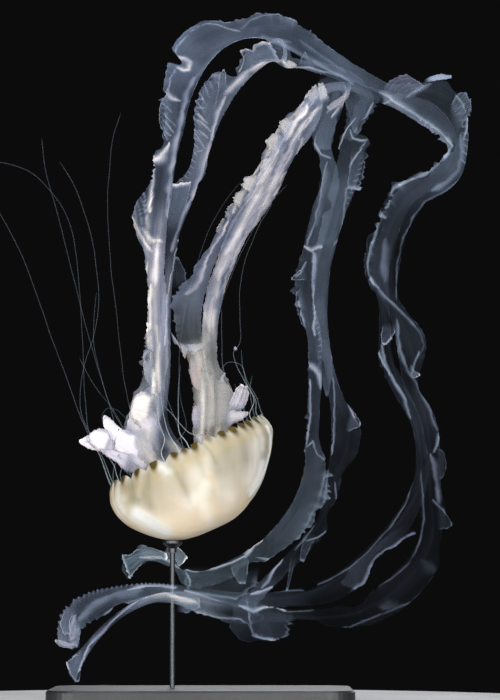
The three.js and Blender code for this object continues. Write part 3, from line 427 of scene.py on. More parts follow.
# Along each arm: milk (how white and close the tissue is), film (how much the thin film
# shows), and for each lip its frill and its curl (radians its edge turns over).
ARM_LOOK = [
  dict(milk=[(0, .9), (80, .55), (130, .47), (200, .43), (240, .54), (262, .36), (300, .12), (380, .1), (440, .04), (1420, .03), (1470, .26), (1530, .3), (1570, .06), (1637, .1)],
       film=[(0, .7), (200, .9), (300, .55), (350, .75), (380, 1.1), (410, 1.1), (440, 2.6), (480, 1.9), (530, 1.9), (570, 1.1), (600, 1.5), (640, 1.35), (690, .5), (735, .28), (768, .55), (795, .85), (825, .5), (850, .3), (880, .14), (920, .12), (970, .2), (1010, .25), (1045, .06), (1080, .3), (1120, .03), (1170, .04), (1210, .02), (1290, .03), (1340, .01), (1390, .16), (1440, .06), (1480, .9), (1530, .7), (1560, .15), (1600, 1.0), (1637, 1.2)],
       left=[(0, 1.2), (100, .9), (200, .5), (250, .4), (290, .7), (330, .5), (400, .4), (440, .2), (500, .35), (560, .7), (620, .2), (680, .5), (760, .3), (830, .1), (1000, .1), (1060, .3), (1150, .4), (1200, .1), (1280, .2), (1400, .2), (1560, .3), (1637, .6)],
       right=[(0, .6), (200, .2), (420, .05), (600, .1), (690, .4), (760, .6), (800, .3), (840, .9), (900, 1.0), (960, 1.1), (1000, .4), (1200, .1), (1300, .15), (1400, .5), (1480, .4), (1637, .6)],
       curl_l=[(0, 1.2), (260, 1.3), (330, .8), (400, .7), (430, .6), (480, .5), (650, 1.2), (760, .6), (840, 2.2), (960, 2.2), (1060, 1.0), (1200, 2.0), (1280, 1.0), (1420, 1.6), (1637, 1.2)],
       curl_r=[(0, 1.2), (250, 2.4), (420, 2.4), (600, 1.6), (760, 1.0), (900, 1.0), (980, .9), (1150, 2.2), (1400, 2.0), (1637, 1.4)],
       tint=[(0, 0), (200, -.5), (300, -.3), (480, -.2), (600, .1), (760, .25), (860, -.2), (1000, .1), (1160, -.3), (1300, -.4), (1400, .4), (1480, .4), (1560, -.4), (1637, 0)]),
  dict(milk=[(0, .7), (60, .24), (110, .3), (160, .42), (200, .26), (250, .08), (300, .2), (340, .2), (400, .14), (440, .2), (500, .1), (620, .04), (1187, .03)],
       film=[(0, .4), (150, .9), (200, .8), (260, .35), (290, .3), (320, .9), (350, 1.25), (400, 1.3), (450, 1.1), (500, .85), (548, .8), (570, .35), (612, .35), (680, .9), (740, 1.1), (780, 1.0), (820, 1.2), (850, 1.0), (880, .4), (920, .12), (980, .1), (1040, .03), (1080, .08), (1120, .9), (1160, .1), (1187, .2)],
       left=[(0, .8), (250, .3), (300, .3), (330, .15), (400, .15), (425, .4), (500, .6), (560, .2), (620, .3), (700, .2), (800, .2), (900, .2), (980, .5), (1040, .8), (1100, .5), (1187, .8)],
       right=[(0, .4), (300, .1), (440, .3), (560, .2), (610, .2), (640, .25), (720, .2), (800, .3), (900, .1), (1000, .3), (1050, .8), (1187, .7)],
       curl_l=[(0, 1.2), (300, 1.6), (380, .6), (450, 1.2), (600, 2.0), (720, 2.4), (900, 2.0), (980, 1.0), (1187, 1.0)],
       curl_r=[(0, 1.2), (300, 2.4), (480, 1.4), (620, 1.0), (720, 1.2), (800, 2.2), (920, 1.0), (1187, 1.2)],
       tint=[(0, -.3), (200, -.5), (300, -.2), (480, 0), (640, .2), (800, .1), (960, 0), (1040, .4), (1120, 0), (1187, .1)]),
  dict(milk=[(0, .8), (60, .6), (100, .56), (140, .54), (200, .46), (240, .48), (300, .48), (380, .35), (430, .2), (480, .05), (560, .04), (1150, .04), (1220, .15), (1300, .05), (1362, .35)],
       film=[(0, .8), (120, 1.5), (200, 1.0), (260, 1.2), (320, .8), (380, 1.0), (440, .9), (480, .2), (520, .46), (600, .38), (640, .24), (700, .14), (740, .2), (780, .06), (800, .03), (840, .1), (880, .34), (920, .04), (980, .03), (1000, .01), (1040, .005), (1090, .005), (1120, .16), (1160, .5), (1200, .15), (1235, .55), (1265, .8), (1320, .5), (1362, .6)],
       left=[(0, .8), (120, .4), (240, .5), (300, .6), (420, .6), (460, .3), (520, .2), (600, .1), (760, .2), (900, .2), (1000, .1), (1180, .3), (1280, .4), (1362, .8)],
       right=[(0, .4), (200, .3), (300, .3), (420, .3), (500, .5), (600, .6), (700, .9), (760, .6), (860, .6), (920, .3), (1000, .4), (1180, .5), (1240, .9), (1362, 1.0)],
       curl_l=[(0, 1.2), (200, 1.8), (330, 1.2), (450, 1.2), (640, 2.2), (850, 2.0), (1000, 1.0), (1150, 2.0), (1362, 1.2)],
       curl_r=[(0, 1.2), (200, 1.2), (330, 2.2), (480, 1.4), (640, 1.0), (740, .8), (900, 2.0), (1100, 1.6), (1200, 1.0), (1280, .7), (1362, 1.0)],
       tint=[(0, .1), (200, -.45), (400, -.3), (520, .3), (640, .1), (740, -.3), (840, .1), (960, -.2), (1040, -.4), (1160, .4), (1240, 0), (1300, 0), (1362, -.1)]),
  dict(milk=[(0, .9), (60, .74), (100, .66), (135, .6), (150, .12), (200, .22), (240, .32), (310, .42), (380, .3), (422, .2), (450, .05), (540, .05), (740, .05), (960, .04), (1124, .06)],
       film=[(0, .8), (120, .8), (160, 1.0), (200, 1.7), (240, 1.9), (330, 1.2), (400, .8), (430, .45), (455, .3), (495, .45), (530, 1.1), (560, 1.2), (600, .8), (680, .35), (720, 1.0), (780, .35), (820, .35), (850, .75), (880, .8), (920, 1.1), (960, .5), (1000, .5), (1040, .65), (1080, 1.4), (1124, .5)],
       left=[(0, .8), (120, .5), (170, .6), (240, .5), (300, .5), (400, .6), (450, .3), (560, .2), (700, .2), (850, .4), (885, 1.1), (950, 1.0), (985, .3), (1040, .5), (1124, .8)],
       right=[(0, .4), (200, .2), (400, .3), (500, .3), (640, .4), (700, .9), (780, .8), (850, .4), (890, .1), (960, .1), (1000, .4), (1060, .7), (1124, .8)],
       curl_l=[(0, 1.2), (160, .4), (300, 2.0), (560, 1.6), (760, 2.2), (1000, 1.4), (1124, 1.2)],
       curl_r=[(0, 1.2), (160, .3), (300, 2.0), (600, 1.2), (720, .9), (820, 1.4), (900, .9), (1000, 1.0), (1124, 1.2)],
       tint=[(0, .1), (160, .1), (250, -.45), (400, -.3), (560, .2), (700, .1), (820, 0), (920, .4), (1000, .7), (1124, .7)]),
]
# Notches bitten out of a lip: arm, side (1 left, -1 right), place, half length, depth.
BITES = [(0, 1, 438, 4.0, 14), (0, 1, 404, 3.0, 6), (1, 1, 428, 5, 9), (0, -1, 866, 4, 5), (1, -1, 694, 6, 6), (3, -1, 674, 8, 4), (0, -1, 1134, 5, 4), (2, -1, 1090, 8, 5), (0, 1, 96, 8, -5), (0, 1, 352, 7, 5), (0, 1, 400, 7, -4), (0, 1, 480, 9, -5), (0, -1, 784, 8, 7),
         (0, -1, 816, 6, -4), (0, -1, 833, 5, 3), (0, -1, 864, 6, -7), (0, -1, 898, 9, 6), (0, -1, 944, 7, -4), (0, 1, 720, 8, -5), (0, 1, 1208, 16, 6), (0, -1, 1312, 12, 6), (0, 1, 1362, 12, 5),
         (1, 1, 608, 10, 5), (1, -1, 608, 10, 5), (1, 1, 625, 7, -6), (1, 1, 962, 10, 4), (1, -1, 1152, 10, -6), (1, 1, 1008, 9, 6),
         (2, 1, 306, 36, 3.5), (2, 1, 384, 8, 3), (2, -1, 576, 8, 5), (2, -1, 624, 7, 4.5), (2, -1, 688, 8, 4.5), (2, -1, 737, 6, -4), (2, 1, 808, 13, 5.5), (2, 1, 1016, 18, 6), (2, 1, 1280, 9, 5),
         (3, 1, 128, 8, 4), (3, 1, 228, 13, -4), (3, 1, 280, 13, 3.5), (3, 1, 340, 10, 5), (3, 1, 416, 9, 4.5), (3, -1, 544, 7, 3), (3, 1, 984, 12, 5), (3, 1, 1056, 8, 5), (3, -1, 1056, 8, 5), (1, -1, 292, 26, 6.5), (1, 1, 497, 11, 12)]
# Stretches where a lip stands in fine pleats: arm, side, from, to, spacing, slant, height.
COMBS = [(1, 1, 310, 414, 6.4, -.55, 1.1, .42), (2, -1, 1225, 1345, 4.2, .5, 1.5, .55), (3, 1, 700, 760, 5.5, .4, .5), (1, 1, 640, 690, 5.5, .4, .6, .4), (0, 1, 740, 800, 6.5, -.3, .6)]
# Stretches where an edge lies against another film and hardly shows: arm, side, from, to, how much is left.
CALM = [(1, -1, 600, 780, .1), (3, 1, 555, 700, .15), (3, 1, 440, 540, .25), (3, -1, 440, 530, .25), (1, 1, 562, 622, .3), (1, -1, 562, 622, .25), (2, -1, 425, 480, .3), (0, -1, 560, 660, .3),
        (0, 1, 845, 960, .6), (2, -1, 900, 1080, .6), (0, 1, 1230, 1330, .6), (2, -1, 1230, 1340, .5)]
# Pale folds, rolled rims and painted highlights (whiteness below 0 thins milk and film instead): arm, from, to along
# it, half width, whiteness, tint, course (x, z).
BANDS = [
    (0, 260, 360, 2, 0.9, 0, [(-99.5, 544), (-96.5, 533.5), (-97.5, 516), (-99.5, 500.5), (-101, 488.5)]),
    (0, 314, 374, 4.5, 0.8, 0, [(-97.5, 542), (-90.5, 545), (-82.5, 556.5)]),
    (0, 314, 376, 2, 0.9, 0, [(-98.5, 547), (-92.5, 542), (-84.5, 552.5), (-82.5, 559.5)]),
    (0, 220, 296, 2, 0.9, 0, [(-118, 482), (-112, 470), (-104, 456.5), (-98, 447.5)]),
    (0, 232, 286, 3.9, 0.55, 0, [(-108, 472), (-98, 459.5), (-90, 459.5)]),
    (0, 186, 278, 4.7, 0.33, -0.6, [(-92, 462), (-93, 437.5), (-94, 414.5)]),
    (0, 106, 230, 2.3, 0.5, 0, [(-100, 414.5), (-100.5, 389), (-99.5, 359), (-98.5, 334)]),
    (0, 126, 252, 1.3, 0.7, 0.3, [(-103, 437.5), (-104, 419.5), (-102, 399), (-103.5, 379), (-101.5, 354)]),
    (0, 238, 324, 1.2, 0.55, 0, [(-107.5, 511), (-104, 490.5), (-103, 468)]),
    (0, 244, 310, 0.86, 0.35, 0, [(-112.5, 497.5), (-110, 486), (-108, 474)]),
    (0, 248, 308, 0.8, 0.3, 0, [(-116.5, 494.5), (-115, 486), (-114, 478)]),
    (0, 258, 318, 0.8, 0.3, 0, [(-109.5, 503.5), (-106, 488)]),
    (0, 258, 454, 2.7, 0.46, -0.4, [(-82, 485), (-80.5, 511), (-77.5, 537), (-73.5, 561), (-68.5, 586), (-63.5, 610), (-55.5, 628)]),
    (0, 410, 582, 2.5, 0.22, -0.3, [(-55.5, 628), (-38.5, 650.5), (-15.5, 666.5), (12, 671), (40.5, 666.5)]),
    (0, 410, 466, 3, 1, 0, [(-74, 650), (-65, 649), (-60, 645), (-61, 636.5), (-67, 635.5), (-73, 638.5)]),
    (0, 378, 428, 2.4, 0.95, 0.1, [(-84, 611), (-79, 605.5), (-71, 603.5)]),
    (0, 366, 418, 0.78, 0.44, 0, [(-91, 601.5), (-85, 597.5), (-79, 591)]),
    (0, 350, 412, 0.78, 0.55, 0, [(-90, 594), (-83, 586), (-74.5, 576.5)]),
    (0, 346, 404, 0.86, 0.55, 0, [(-90, 586), (-84, 579.5), (-76.5, 571)]),
    (0, 340, 390, 0.94, 0.55, 0.2, [(-87.5, 573.5), (-83.5, 569), (-79.5, 567)]),
    (0, 418, 526, 0.78, 0.5, 0.1, [(-76, 652), (-74, 661.5), (-65, 673), (-55, 682.5), (-45, 687), (-34.5, 686), (-22.5, 681), (-10, 678)]),
    (0, 384, 456, 0.78, 0.44, 0, [(-73, 639.5), (-82, 627.5), (-83, 615), (-80, 610)]),
    (0, 482, 588, 0.78, 0.33, 0, [(-10, 679), (0, 689.5), (12, 694.5), (28.5, 695.5), (43, 690), (57, 680.5)]),
    (0, 502, 666, 2, 0.24, -0.3, [(12, 673), (35.5, 662.5), (61, 647.5), (86, 631.5), (111.5, 617.5)]),
    (0, 546, 644, 2, 0.13, 0, [(51, 668.5), (71, 652.5), (96.5, 634.5)]),
    (0, 644, 714, 3, 0.8, 0, [(131.5, 611.5), (140.5, 607), (145, 599.5), (155, 594.5)]),
    (0, 670, 734, 2, 0.33, 0.1, [(157, 605), (169, 612.5), (181, 618)]),
    (0, 714, 796, 1.2, 0.5, 0.1, [(206.5, 605), (213, 596.5), (218, 585), (217.5, 573.5), (213, 557.5)]),
    (0, 748, 858, 3.1, 0.24, 0.2, [(209.5, 563), (211, 542), (206.5, 526.5), (194.5, 514), (180, 505.5)]),
    (0, 754, 992, 0.9, 0.18, 0.1, [(218, 557.5), (216.5, 531.5), (206.5, 514), (191, 503.5), (173, 493.5), (160, 475), (151, 455), (146, 433), (144, 410), (144.5, 395.5)]),
    (0, 930, 1022, 1.3, 0.25, 0.1, [(126, 408), (134, 398.5), (143, 390.5), (152.5, 380.5), (162.5, 369.5)]),
    (0, 876, 980, 3, -0.6, 0, [(148, 460), (143, 433), (142, 405.5)]),
    (0, 966, 1126, 1.6, 0.19, 0.1, [(144.5, 375.5), (147.5, 346), (155.5, 326.5), (167, 306.5), (177, 287), (185, 267.5)]),
    (0, 1002, 1066, 0.96, 0.28, 0.1, [(166, 344), (162, 331.5), (159.5, 322.5)]),
    (0, 974, 1048, 1.1, 0.12, 0, [(157.5, 373.5), (167, 363), (171, 351), (166, 341)]),
    (0, 1082, 1146, 1.8, 0.31, 0.1, [(188, 267.5), (186, 257.5), (181, 246)]),
    (0, 1104, 1196, 2.6, 0.17, -0.5, [(178, 243), (181, 228.5), (184, 213.5), (185, 197)]),
    (0, 1148, 1216, 1.1, 0.22, 0, [(180, 199), (192, 186), (198.5, 175.5)]),
    (0, 1212, 1256, 5, 0.025, -0.5, [(169.5, 140), (179.5, 132.5), (185, 128.5)]),
    (0, 1258, 1312, 5, 0.04, -0.5, [(131.5, 93), (143, 95)]),
    (0, 1214, 1360, 0.86, 0.12, 0, [(184, 128.5), (172.5, 111), (158, 99), (138.5, 91), (118.5, 83), (99, 74.5), (84, 72.5)]),
    (0, 1120, 1408, 0.78, 0.13, 0, [(167, 228.5), (171, 199), (171, 179.5), (166.5, 155), (156, 135.5), (138, 120.5), (114, 109), (89, 101), (59.5, 90), (34.5, 89)]),
    (0, 1364, 1454, 1.9, 0.66, 0.4, [(-10, 95), (4, 89), (13, 93), (25, 95), (34.5, 90)]),
    (0, 1394, 1494, 0.94, 0.28, 0.2, [(-53.5, 89), (-29.5, 83), (-10, 82), (2, 73)]),
    (0, 1452, 1554, 2.7, 0.61, 0, [(-110.5, 103), (-99, 107), (-84, 108), (-69.5, 103), (-53.5, 99)]),
    (0, 1510, 1618, 1.6, 0.44, -0.5, [(-110.5, 101), (-123.5, 91), (-136, 79.5), (-148, 66.5), (-157.5, 57)]),
    (0, 1574, 1658, 2, 0.7, -0.4, [(-157.5, 57), (-163.5, 47), (-167, 34.5), (-170, 21.5)]),
    (1, 124, 218, 1.4, 0.55, -0.4, [(-85.5, 356.5), (-84.5, 376.5), (-83.5, 397), (-82.5, 407)]),
    (1, 174, 276, 0.86, 0.55, 0, [(-82.5, 407), (-79.5, 427.5), (-75.5, 448), (-72.5, 463)]),
    (1, 220, 318, 2, 0.44, -0.4, [(-79, 453), (-75, 468.5), (-68, 489), (-60.5, 504.5)]),
    (1, 276, 382, 2.5, 0.55, -0.3, [(-58.5, 504.5), (-50.5, 524.5), (-43.5, 550), (-39.5, 565)]),
    (1, 338, 428, 2, 0.61, -0.2, [(-39.5, 565), (-32.5, 589.5), (-24, 607)]),
    (1, 390, 464, 4.4, 0.66, -0.5, [(-24, 611.5), (-14, 621), (-2, 631.5)]),
    (1, 420, 504, 3.0, 0.6, -0.4, [(-2, 631.5), (12, 639), (33, 641.5)]),
    (1, 368, 416, 0.78, 0.55, 0, [(-55.5, 604.5), (-47.5, 605.5)]),
    (1, 362, 410, 0.78, 0.55, 0, [(-54.5, 596.5), (-45.5, 596.5)]),
    (1, 354, 402, 0.86, 0.61, 0, [(-54.5, 591.5), (-48.5, 587.5), (-42.5, 581.5)]),
    (1, 346, 398, 0.78, 0.55, 0, [(-53.5, 585.5), (-47.5, 580.5), (-40.5, 573.5)]),
    (1, 340, 388, 0.78, 0.5, 0, [(-52.5, 575), (-47.5, 571), (-42.5, 566.5)]),
    (1, 328, 384, 0.78, 0.5, 0, [(-54.5, 571), (-49.5, 564), (-44.5, 556)]),
    (1, 322, 370, 0.78, 0.44, 0, [(-55.5, 553), (-48.5, 554)]),
    (1, 460, 548, 2.0, 0.6, 0.2, [(33, 640.5), (42, 634), (60, 634), (75.5, 629)]),
    (1, 460, 514, 3, 0.9, 0.3, [(34, 639.5), (42, 632)]),
    (1, 504, 578, 1.9, 0.33, 0, [(75.5, 629), (90.5, 624.5), (102.5, 616.5)]),
    (2, 34, 148, 5, 0.2, 0, [(-52, 341), (-49, 324), (-44.5, 299), (-41.5, 274)]),
    (2, 66, 156, 5, 0.18, 0.1, [(-43, 349), (-40, 334), (-38, 319), (-37, 304)]),
    (2, 132, 226, 5, 0.3, -0.1, [(-43, 369), (-44, 381), (-38, 399), (-32, 419)]),
    (2, 182, 324, 5.5, 0.34, -0.2, [(-32, 419), (-22, 445.5), (-10, 467.5), (2, 487.5), (14, 505.5)]),
    (2, 280, 398, 3.6, 0.5, -0.2, [(14, 505.5), (26, 527), (38, 549), (50, 568.5)]),
    (2, 262, 370, 1.4, 0.5, -0.2, [(-4, 494.5), (6, 509.5), (18, 529.5), (30, 549)]),
    (2, 228, 318, 1, -0.5, 0, [(-10, 459.5), (4, 485.5), (12, 499.5)]),
    (2, 286, 370, 1.2, -0.45, 0, [(12, 513.5), (22, 529.5), (32, 547)]),
    (2, 338, 422, 4, 0.8, 0, [(36, 559), (48, 578.5), (58, 591.5)]),
    (3, 170, 252, 3, 0.7, -0.2, [(-63.5, 409), (-55.5, 415), (-48.5, 425.5), (-44.5, 442)]),
    (3, 208, 298, 1.7, 0.61, -0.3, [(-44.5, 442), (-38.5, 454), (-29.5, 468.5), (-22.5, 483)]),
    (3, 266, 338, 3, 0.75, 0, [(-18.5, 493), (-14, 505.5), (-4, 518)]),
    (3, 302, 388, 3.4, 0.7, -0.1, [(0, 526.5), (12, 542), (22.5, 559.5)]),
    (3, 344, 432, 3.6, 0.75, 0, [(22.5, 559.5), (24.5, 573), (34.5, 584.5), (47, 597.5)]),
    (3, 388, 512, 4.5, 0.85, 0, [(47, 597.5), (56, 612), (67.5, 618.5), (80, 606.5)]),
    (3, 448, 502, 3.6, 1, 0, [(99.5, 628), (102.5, 620), (97, 613)]),
    (3, 456, 524, 1.8, 0.8, 0, [(101.5, 615), (90, 602.5), (83, 593)]),
    (3, 480, 570, 1.4, 0.66, 0, [(73.5, 598.5), (67.5, 582), (66.5, 567.5), (72.5, 555), (82, 551)]),
    (3, 528, 662, 0.86, 0.39, 0, [(79.5, 546.5), (74.5, 528), (70.5, 502.5), (64.5, 479), (58, 460.5)]),
    (3, 532, 640, 2.3, 0.13, 0, [(77.5, 543.5), (73.5, 512.5), (67.5, 482)]),
    (1, 580, 702, 0.86, 0.55, 0, [(106.5, 583), (98.5, 573.5), (88.5, 551.5), (78.5, 532), (72.5, 514)]),
    (1, 592, 646, 0.94, 0.55, 0.1, [(100.5, 571.5), (103.5, 563.5), (111.5, 561.5), (118.5, 561.5)]),
    (1, 604, 674, 0.94, 0.5, 0, [(116.5, 559.5), (107.5, 547), (100.5, 534)]),
    (1, 650, 752, 1.1, 0.28, 0, [(96.5, 514), (94.5, 491.5), (90.5, 466.5), (84.5, 456.5)]),
    (3, 616, 666, 1.9, 0.75, 0, [(55, 459.5), (62, 455.5), (69.5, 459.5), (81.5, 458.5)]),
    (3, 620, 676, 2.3, 0.55, 0, [(64, 456.5), (64, 444)]),
    (3, 626, 752, 1.9, 0.46, -0.1, [(65.5, 451.5), (64, 420.5), (65, 395.5), (65, 370)]),
    (3, 634, 696, 0.94, 0.55, 0.1, [(57, 444), (51, 433), (42, 427)]),
    (3, 674, 744, 1.2, 0.55, 0.1, [(49, 403.5), (52, 390), (56, 377)]),
    (3, 738, 806, 3.0, 0.42, 0.1, [(59, 339.5), (65, 335), (71.5, 326), (72.5, 316)]),
    (3, 754, 864, 1.2, 0.5, 0, [(62, 324), (62, 298.5), (60, 273), (58, 258)]),
    (3, 816, 882, 0.78, 0.5, 0.1, [(58, 256), (64, 262), (69, 248.5), (79.5, 239.5)]),
    (3, 826, 992, 0.78, 0.39, 0, [(56, 252.5), (52, 232.5), (44.5, 207), (34.5, 192), (20.5, 171.5), (2, 155.5)]),
    (3, 842, 956, 1.2, 0.16, 0.1, [(77.5, 234.5), (74, 214), (67, 194), (56, 173.5), (47.5, 160.5)]),
    (1, 862, 938, 1.6, 0.55, 0, [(93.5, 309), (101.5, 289), (108.5, 278)]),
    (1, 844, 974, 0.86, 0.33, 0, [(83.5, 323), (84.5, 296), (83.5, 266), (81.5, 246)]),
    (1, 954, 1064, 0.7, 0.26, 0.1, [(84.5, 218.5), (87, 192.5), (81, 172.5), (68, 163.5), (56, 160)]),
    (1, 946, 1078, 1.2, 0.14, 0, [(78.5, 231), (75, 200.5), (62, 171), (46, 151)]),
    (1, 1050, 1128, 1.4, 0.44, -0.4, [(33, 141), (24, 131), (18, 119), (12, 113)]),
    (1, 1076, 1140, 1.9, 0.66, -0.1, [(1, 107), (12, 110), (22, 114)]),
    (1, 1104, 1180, 0.78, 0.22, 0.2, [(-4, 101), (0, 81), (3, 67)]),
    (1, 1136, 1202, 1.2, 0.66, 0.2, [(2, 65), (12, 62), (26, 60)]),
    (3, 936, 1004, 2.4, 0.8, 0.3, [(-5, 144), (4, 155.5), (12, 160.5)]),
    (3, 932, 994, 0.94, 0.39, 0.3, [(6, 144), (18.5, 142), (30.5, 143)]),
    (3, 960, 1078, 1.2, 0.66, 0.4, [(-6, 145), (-18, 139), (-35.5, 133), (-55.5, 130), (-73, 134)]),
    (3, 1034, 1118, 1.6, 0.7, 0.4, [(-73, 134), (-83, 141), (-91, 144), (-101, 144), (-111.5, 144)]),
    (3, 1018, 1068, 0.94, 0.44, 0.4, [(-62.5, 109), (-60.5, 121), (-65, 129)]),
    (3, 984, 1052, 0.94, 0.61, 0.4, [(-50.5, 107.5), (-42.5, 114), (-30.5, 117), (-19, 114)]),
    (2, 464, 596, 1.8, 0.5, 0.4, [(132.5, 590), (140.5, 593), (150, 586.5), (160, 580), (167.5, 574.5), (179, 566), (191.5, 552.5), (198, 544)]),
    (2, 554, 678, 2.3, 0.6, 0.3, [(197, 543), (191.5, 533.5), (182.5, 524), (170.5, 515), (156, 509), (149, 506), (141, 501), (137.5, 494)]),
    (2, 634, 708, 1.2, 0.44, 0.2, [(137.5, 494), (134.5, 482), (124.5, 476.5), (123.5, 468.5), (128.5, 459.5)]),
    (2, 652, 698, 2.3, 0.44, 0.4, [(125.5, 475.5), (130.5, 471.5)]),
    (2, 650, 764, 1.4, 0.5, 0.2, [(127.5, 477.5), (123, 459.5), (116.5, 442), (113, 426.5), (114.5, 414.5), (119.5, 407), (124.5, 403)]),
    (0, 864, 970, 1.2, 0.4, 0.2, [(129.5, 483), (125, 465), (118.5, 447), (115, 431), (116.5, 419), (121, 411)]),
    (2, 672, 756, 3.5, 0.13, -0.2, [(131, 450), (129, 428.5), (130, 411)]),
    (2, 774, 894, 1.6, 0.28, 0.2, [(128, 347.5), (131, 331), (141.5, 309.5), (151, 294.5), (156, 277)]),
    (2, 782, 848, 1.1, 0.55, 0.2, [(125, 340), (130, 328), (135.5, 318.5)]),
    (2, 752, 818, 1, 0.5, 0.1, [(140.5, 372), (136.5, 354.5), (130, 347.5)]),
    (2, 916, 1172, 0.78, 0.13, -0.1, [(158, 214), (150.5, 193), (138, 173.5), (116.5, 149.5), (97.5, 132), (78, 120.5), (53.5, 110.5), (19.5, 109), (0, 109)]),
    (2, 958, 1058, 1.9, 0.44, -0.4, [(161, 162), (150.5, 159), (139, 150.5), (130, 142.5), (119.5, 135), (116.5, 123.5)]),
    (2, 1012, 1080, 3.9, 0.2, -0.4, [(118.5, 123.5), (111, 114.5), (99.5, 107)]),
    (2, 1138, 1236, 1.1, 0.39, 0.3, [(-63.5, 110.5), (-44, 105), (-24.5, 97), (-10, 91.5)]),
    (2, 1202, 1292, 2, 0.55, 0.1, [(-73.5, 112.5), (-88, 114.5), (-102.5, 114.5), (-119, 110.5)]),
    (2, 1236, 1342, 3.5, 0.16, -0.4, [(-107.5, 111.5), (-132, 107), (-151.5, 98), (-166, 83.5)]),
    (2, 1226, 1358, 1.1, 0.3, -0.1, [(-98, 105), (-117.5, 99), (-134.5, 93), (-148.5, 81.5), (-161.5, 70)]),
    (2, 1302, 1372, 3.1, 0.36, -0.5, [(-171.5, 85.5), (-175.5, 74), (-175, 62)]),
    (0, 20, 120, 9, -0.9, 0, [(-89, 244), (-87, 264), (-86.5, 284), (-86.5, 304)]),
    (1, 20, 98, 9, -0.85, 0, [(-90, 245.5), (-88.5, 266), (-87.5, 286)]),
    (0, 36, 110, 5, 0.7, 0, [(-99, 261), (-103, 277), (-104.5, 294)]),
    (0, 72, 144, 4, 0.6, 0, [(-98.5, 299), (-96.5, 314), (-97.5, 329)]),
    (2, 164, 282, 1.4, 0.29, 0, [(-28, 399), (-24, 419), (-14, 443.5), (-2, 467.5)]),
    (2, 204, 322, 1.4, 0.32, -0.2, [(-18, 437), (-6, 459.5), (8, 481.5), (20, 499.5)]),
    (2, 268, 376, 1.7, 0.61, 0, [(12, 493.5), (22, 511.5), (34, 533), (42, 549)]),
    (2, 282, 392, 1.4, 0.5, 0, [(24, 503.5), (34, 523), (46, 545), (54, 560.5)]),
    (2, 336, 424, 2, 0.65, 0, [(42, 553), (50, 566.5), (60, 580), (68, 589.5)]),
    (2, 344, 436, 1.4, 0.58, 0, [(48, 559), (56, 572.5), (66, 586), (75.5, 595)]),
    (3, 274, 360, 1.7, 0.61, -0.3, [(-10, 499.5), (0, 516), (12, 534.5)]),
    (3, 310, 388, 1.9, 0.65, 0, [(8, 528.5), (18.5, 543), (26.5, 557.5)]),
    (3, 344, 440, 1.7, 0.58, 0, [(26.5, 557.5), (36.5, 572), (49, 587), (59, 597.5)]),
    (3, 370, 456, 1.9, 0.61, 0, [(41, 580.5), (51, 595), (63.5, 608), (73.5, 612)]),
    (3, 384, 456, 1.7, 0.58, 0, [(47, 591), (57, 605.5), (67.5, 616.5)]),
    (2, 300, 382, 2.2, -0.7, 0, [(22, 523.5), (32, 541), (42, 557)]),
    (3, 286, 362, 1.6, -0.6, 0, [(0, 507.5), (8, 522), (16.5, 534.5)]),
    (2, 158, 240, 2.6, -0.6, 0, [(-33, 394), (-29, 414), (-22, 431)]),
    (3, 352, 432, 1.5, -0.6, 0, [(34.5, 562), (45, 576.5), (55, 589)]),
    (3, 408, 510, 3, 0.85, 0, [(63.5, 612), (71.5, 613), (80, 609.5)]),
    (2, 286, 350, 3, 0.5, -0.2, [(8, 515.5), (14, 523.5), (20, 531.5)]),
    (3, 304, 368, 3, 0.5, -0.2, [(8, 522), (14, 530.5), (20.5, 539)]),
    (3, 366, 422, 3, 0.5, 0, [(34.5, 578.5), (43, 589)]),
    (2, 156, 254, 5, -0.35, -0.1, [(-36, 393), (-34, 409), (-28, 427), (-20, 445.5)]),
    (0, 278, 360, 3.5, -0.3, -0.2, [(-82.5, 505), (-79.5, 523.5), (-76.5, 542)]),
    (3, 458, 522, 2.4, 0.5, 0, [(79, 598.5), (88, 605.5), (98.5, 613)]),
    (1, 558, 636, 1.4, 0.4, 0, [(124.5, 600.5), (116.5, 585), (104.5, 569.5)]),
    (0, 644, 798, 5.5, 0.3, -0.5, [(133.5, 612.5), (149, 601), (165, 588), (180, 573), (195, 556.5)]),
    (2, 464, 596, 5.5, 0.26, -0.4, [(134.5, 594), (150, 583), (165.5, 570.5), (182.5, 555), (194, 544)]),
    (0, 762, 892, 1.8, 0.45, 0.3, [(200, 550), (195, 540.5), (185.5, 530), (174.5, 521.5), (158.5, 515), (150.5, 511), (142.5, 506), (138.5, 499)]),
    (2, 778, 872, 1.0, 0.3, 0.3, [(125, 342.5), (130, 331), (136.5, 319.5), (143.5, 308), (149, 296)]),
    (0, 78, 190, 2.8, 0.36, -0.4, [(-92.5, 373), (-90.5, 354), (-91.5, 331), (-89.5, 307)]),
    (2, 194, 330, 4, 0.24, -0.5, [(-28, 431), (-10, 461.5), (6, 487.5), (18, 509.5)]),
    (2, 50, 170, 5, 0.22, -0.4, [(-43.5, 289), (-45, 314), (-45, 339), (-43, 364)]),
    (2, 140, 230, 4.5, 0.2, -0.4, [(-40, 377), (-36, 399), (-29, 423)]),
    (0, 52, 120, 3.5, 0.36, -0.2, [(-93.5, 305), (-92.5, 293), (-92, 281)]),
    (0, 18, 78, 3, 0.3, -0.2, [(-94, 259), (-92, 249), (-89, 239)]),
]
COLUMNS = np.array([0, .08, .16, .24, .32, .4, .48, .56, .64, .71, .78, .84, .89, .93, .965, 1.0])
NC = len(COLUMNS)


def pinched(x, seed):
    """Uneven ruffles along x, about one in each unit: round hollows, sharp crests, -1 to 1."""
    w = x + 0.6 * noise1(x * 0.37, seed)
    return 1 - 2 * np.abs(noise1(w * 1.35, seed + 1)) ** 0.75


